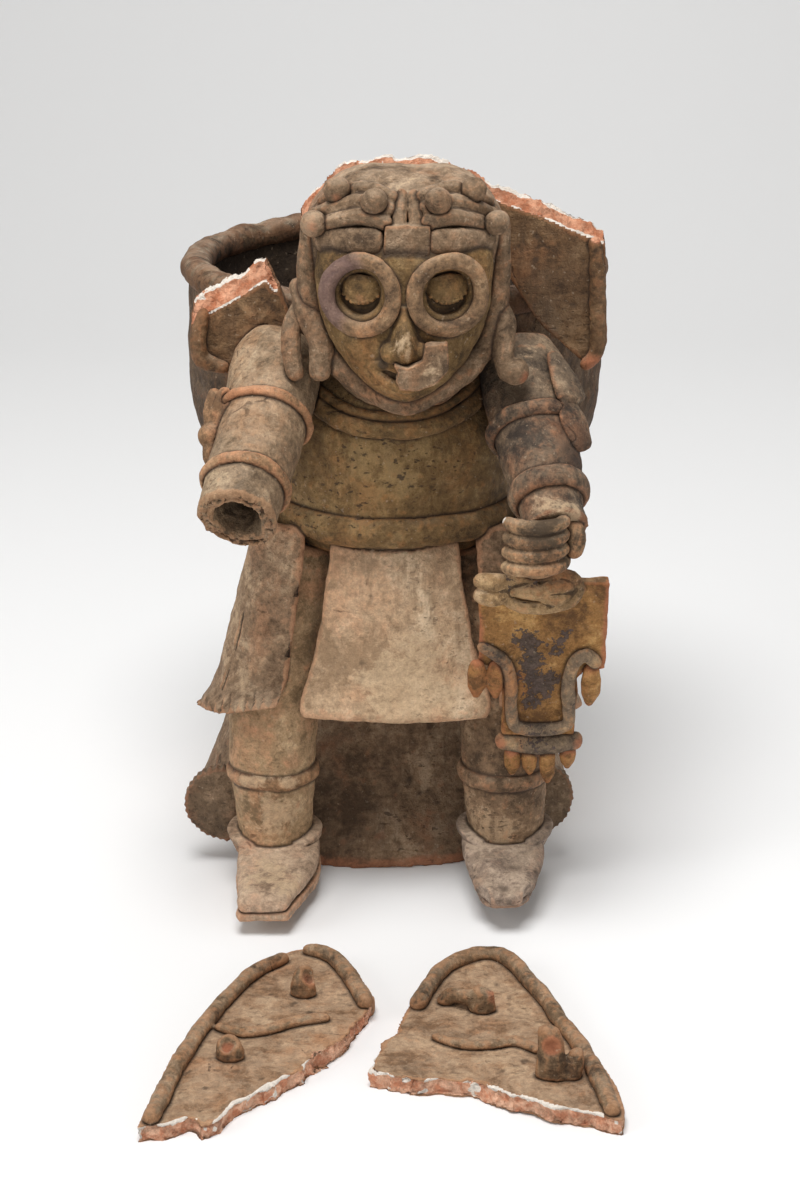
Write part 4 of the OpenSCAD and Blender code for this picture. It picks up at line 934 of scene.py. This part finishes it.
# %% The clay recipe
def fired_clay(name, dark, mid, light, warm, warm_share=0.45, grit=0.3, streak=0.3, dust_and_top_light=0.35,
               deep=(176, 112, 80), crumb=(212, 156, 124)):
    """Material of one finish, from its tones on screen."""
    material = bpy.data.materials.new(name)
    material.use_nodes = True
    shader = material.node_tree.nodes["Principled BSDF"]
    place = Wire(material.node_tree).node("ShaderNodeTexCoord", {}, {}, out="Object")
    sky = clouds_of(place)
    middle, small, fine = sky["middle"], sky["small"], sky["fine"]
    crack = cracks(place, sky)
    slip = patch(place, "slip", 2.6 * (middle - 0.5) + 3.2 * (small - 0.5), 0.42, 0.6)
    specks = ramp(cloud(shifted(place, (1.3, 4.1, 2.7), (0.5, 1, 1)), 330.0, 2.0, 0.5), 0.61, 0.69)
    specks = specks * ramp(sky["broad"], 0.42, 0.62)
    pale = ramp(cloud(shifted(place, (7.7, 0.4, 3.3)), 300.0, 2.0, 0.5), 0.67, 0.73)
    broken = ramp(channel(place, "broken") + 0.3 * (small - 0.5), 0.3, 0.6)
    colour = fired(sky, rgb(*dark), rgb(*mid), rgb(*light), rgb(*warm), warm_share, streak)
    colour = buried(colour, sky, rgb(*warm), dust_and_top_light)
    colour = painted(colour, sky, crack, slip)
    colour = blend(specks * grit, colour, SOIL)
    colour = blend(pale * 0.3, colour, DUST_AND_TOP_LIGHT)
    colour = broken_open(colour, place, sky, broken, rgb(*deep), rgb(*crumb))
    grain = 0.78 + 0.26 * ramp(small, 0.3, 0.7) + 0.18 * ramp(fine, 0.3, 0.7)
    shade = colour.node("ShaderNodeHueSaturation", {}, {"Value": grain, "Color": colour})
    rough = 0.84 - 0.2 * ramp(middle, 0.45, 0.7) + 0.12 * broken
    height = 0.9 * small + 0.4 * fine + 0.3 * sky["wipe"] + 0.3 * sky["runs"] + 0.6 * middle - 0.5 * specks
    height = height - 0.4 * slip - 0.6 * crack + 0.8 * (broken * small)
    bump = height.node("ShaderNodeBump", {}, {"Strength": 1.0, "Distance": 1.5 * MM, "Height": height})
    for socket, value in (("Base Color", shade), ("Roughness", rough), ("Normal", bump)):
        material.node_tree.links.new(value.socket, shader.inputs[socket])
    shader.inputs["Specular IOR Level"].default_value = 0.35
    return material


print("recipe ready")

# %% [markdown]
# Each finish has a dark, a middle and a light tone and the colour of its warm spots, as
# they look on screen. The vessel is browner, the dress paler, the bag ochre.

# %% Finishes
FINISHES = {
    "drum": ("clay_dark", dict(
        dark=(88, 69, 52), mid=(134, 108, 83), light=(172, 146, 118), warm=(146, 100, 72),
        grit=0.7, streak=0.6, dust_and_top_light=0.2)),
    "bowl": ("clay_tan", dict(
        dark=(58, 44, 31), mid=(88, 68, 49), light=(116, 93, 68), warm=(118, 80, 54),
        grit=0.5, dust_and_top_light=0.5)),
    "rosette": ("clay_tan", dict(
        dark=(72, 58, 44), mid=(106, 86, 66), light=(138, 114, 90), warm=(148, 102, 76))),
    "chest": ("clay_grey", dict(
        dark=(80, 61, 36), mid=(116, 90, 56), light=(144, 117, 77), warm=(150, 104, 60),
        grit=0.8, dust_and_top_light=0.15)),
    "apron": ("clay_pale", dict(
        dark=(156, 128, 99), mid=(190, 160, 128), light=(218, 192, 160), warm=(206, 156, 120),
        warm_share=0.45, grit=0.25, streak=0.75)),
    "flap": ("clay_tan", dict(
        dark=(98, 76, 56), mid=(144, 117, 91), light=(184, 157, 126), warm=(190, 138, 102))),
    "arm": ("clay_tan", dict(
        dark=(94, 76, 57), mid=(138, 114, 88), light=(174, 150, 120), warm=(178, 134, 98),
        dust_and_top_light=0.3)),
    "dark_arm": ("clay_tan", dict(
        dark=(58, 48, 40), mid=(104, 86, 68), light=(150, 127, 101), warm=(168, 116, 82),
        warm_share=0.4, dust_and_top_light=0.2)),
    "band": ("clay_pink", dict(
        dark=(112, 84, 59), mid=(154, 119, 86), light=(186, 152, 116), warm=(192, 132, 94),
        warm_share=0.6, dust_and_top_light=0.25)),
    "fist": ("clay_tan", dict(
        dark=(84, 68, 51), mid=(146, 117, 86), light=(188, 158, 120), warm=(184, 130, 90))),
    "bag": ("clay_ochre", dict(
        dark=(104, 73, 42), mid=(158, 115, 66), light=(192, 151, 94), warm=(164, 102, 64),
        warm_share=0.7)),
    "bag_knot": ("clay_ochre", dict(
        dark=(84, 66, 47), mid=(142, 113, 78), light=(186, 154, 112), warm=(166, 108, 68),
        warm_share=0.7)),
    "bag_strip": ("clay_ochre", dict(
        dark=(78, 67, 58), mid=(132, 112, 90), light=(176, 148, 112), warm=(178, 124, 80),
        warm_share=0.85)),
    "leg": ("clay_tan", dict(
        dark=(124, 101, 73), mid=(166, 137, 103), light=(198, 170, 134), warm=(202, 148, 110),
        warm_share=0.55)),
    # Painted shade: the left leg's finish is a darker copy of the leg's
    "painted_shade_leg": ("clay_tan", dict(
        dark=(82, 64, 47), mid=(128, 102, 77), light=(170, 143, 113), warm=(176, 124, 88),
        warm_share=0.5, grit=0.6)),
    "foot": ("clay_pink", dict(
        dark=(130, 107, 86), mid=(180, 152, 127), light=(214, 189, 163), warm=(204, 150, 114),
        warm_share=0.5)),
    "grey_foot": ("clay_pink", dict(
        dark=(88, 75, 64), mid=(136, 117, 102), light=(176, 155, 137), warm=(178, 136, 108),
        warm_share=0.45)),
    "head": ("clay_grey", dict(
        dark=(80, 62, 45), mid=(124, 100, 76), light=(162, 136, 109), warm=(170, 120, 84),
        grit=0.25, dust_and_top_light=0.35)),
    "face": ("clay_grey", dict(
        dark=(74, 56, 33), mid=(120, 93, 57), light=(156, 128, 85), warm=(168, 116, 70),
        grit=0.25, dust_and_top_light=0.2)),
    "goggle": ("clay_grey", dict(
        dark=(86, 66, 48), mid=(136, 107, 78), light=(170, 141, 108), warm=(180, 126, 86),
        warm_share=0.65, grit=0.25, dust_and_top_light=0.25)),
    "wing": ("clay_tan", dict(
        dark=(70, 50, 33), mid=(106, 79, 53), light=(138, 109, 78), warm=(144, 96, 62),
        streak=0.5)),
    "lobe": ("clay_tan", dict(
        dark=(120, 91, 66), mid=(154, 120, 90), light=(182, 149, 116), warm=(180, 128, 90),
        streak=0.2, deep=(198, 134, 102), crumb=(230, 184, 154))),
    "lobe_coil": ("clay_tan", dict(
        dark=(78, 60, 43), mid=(122, 97, 71), light=(164, 135, 104), warm=(168, 118, 80))),
}
materials = {name: fired_clay(name + "_clay", **tones) for name, (slot, tones) in FINISHES.items()}
print(len(materials), "finishes")

# %% [markdown]
# ## Hand the pieces over
# Each channel becomes an attribute of the mesh for its material to read. A piece then
# rides on the body of the node that it stands for, and takes the material of its finish.

# %% Attributes, materials and bodies
LAYERS = ("hollow", "dip", "joint", "dust_and_top_light", "soot_and_shade", "stain", "tint", "slip", "wash", "broken", "plaster")
low, high = (np.array(corner) / MM for corner in cad_box)
for node, piece in clay.items():
    place = points_of(node)[0]
    set_points(node, np.clip(place, low, high))
    for name in LAYERS:
        values = np.zeros(len(place)) + channels[node].get(name, 0)
        attribute = piece.data.attributes.new(name, "FLOAT", "POINT")
        attribute.data.foreach_set("value", values.astype(np.float32))
    finish = CLAY[node][2]
    piece.data.materials.append(materials[finish])
    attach(piece, body_of[node])
    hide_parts(*stands_for[node])
print("pieces ride on", sorted(set(body_of.values())))
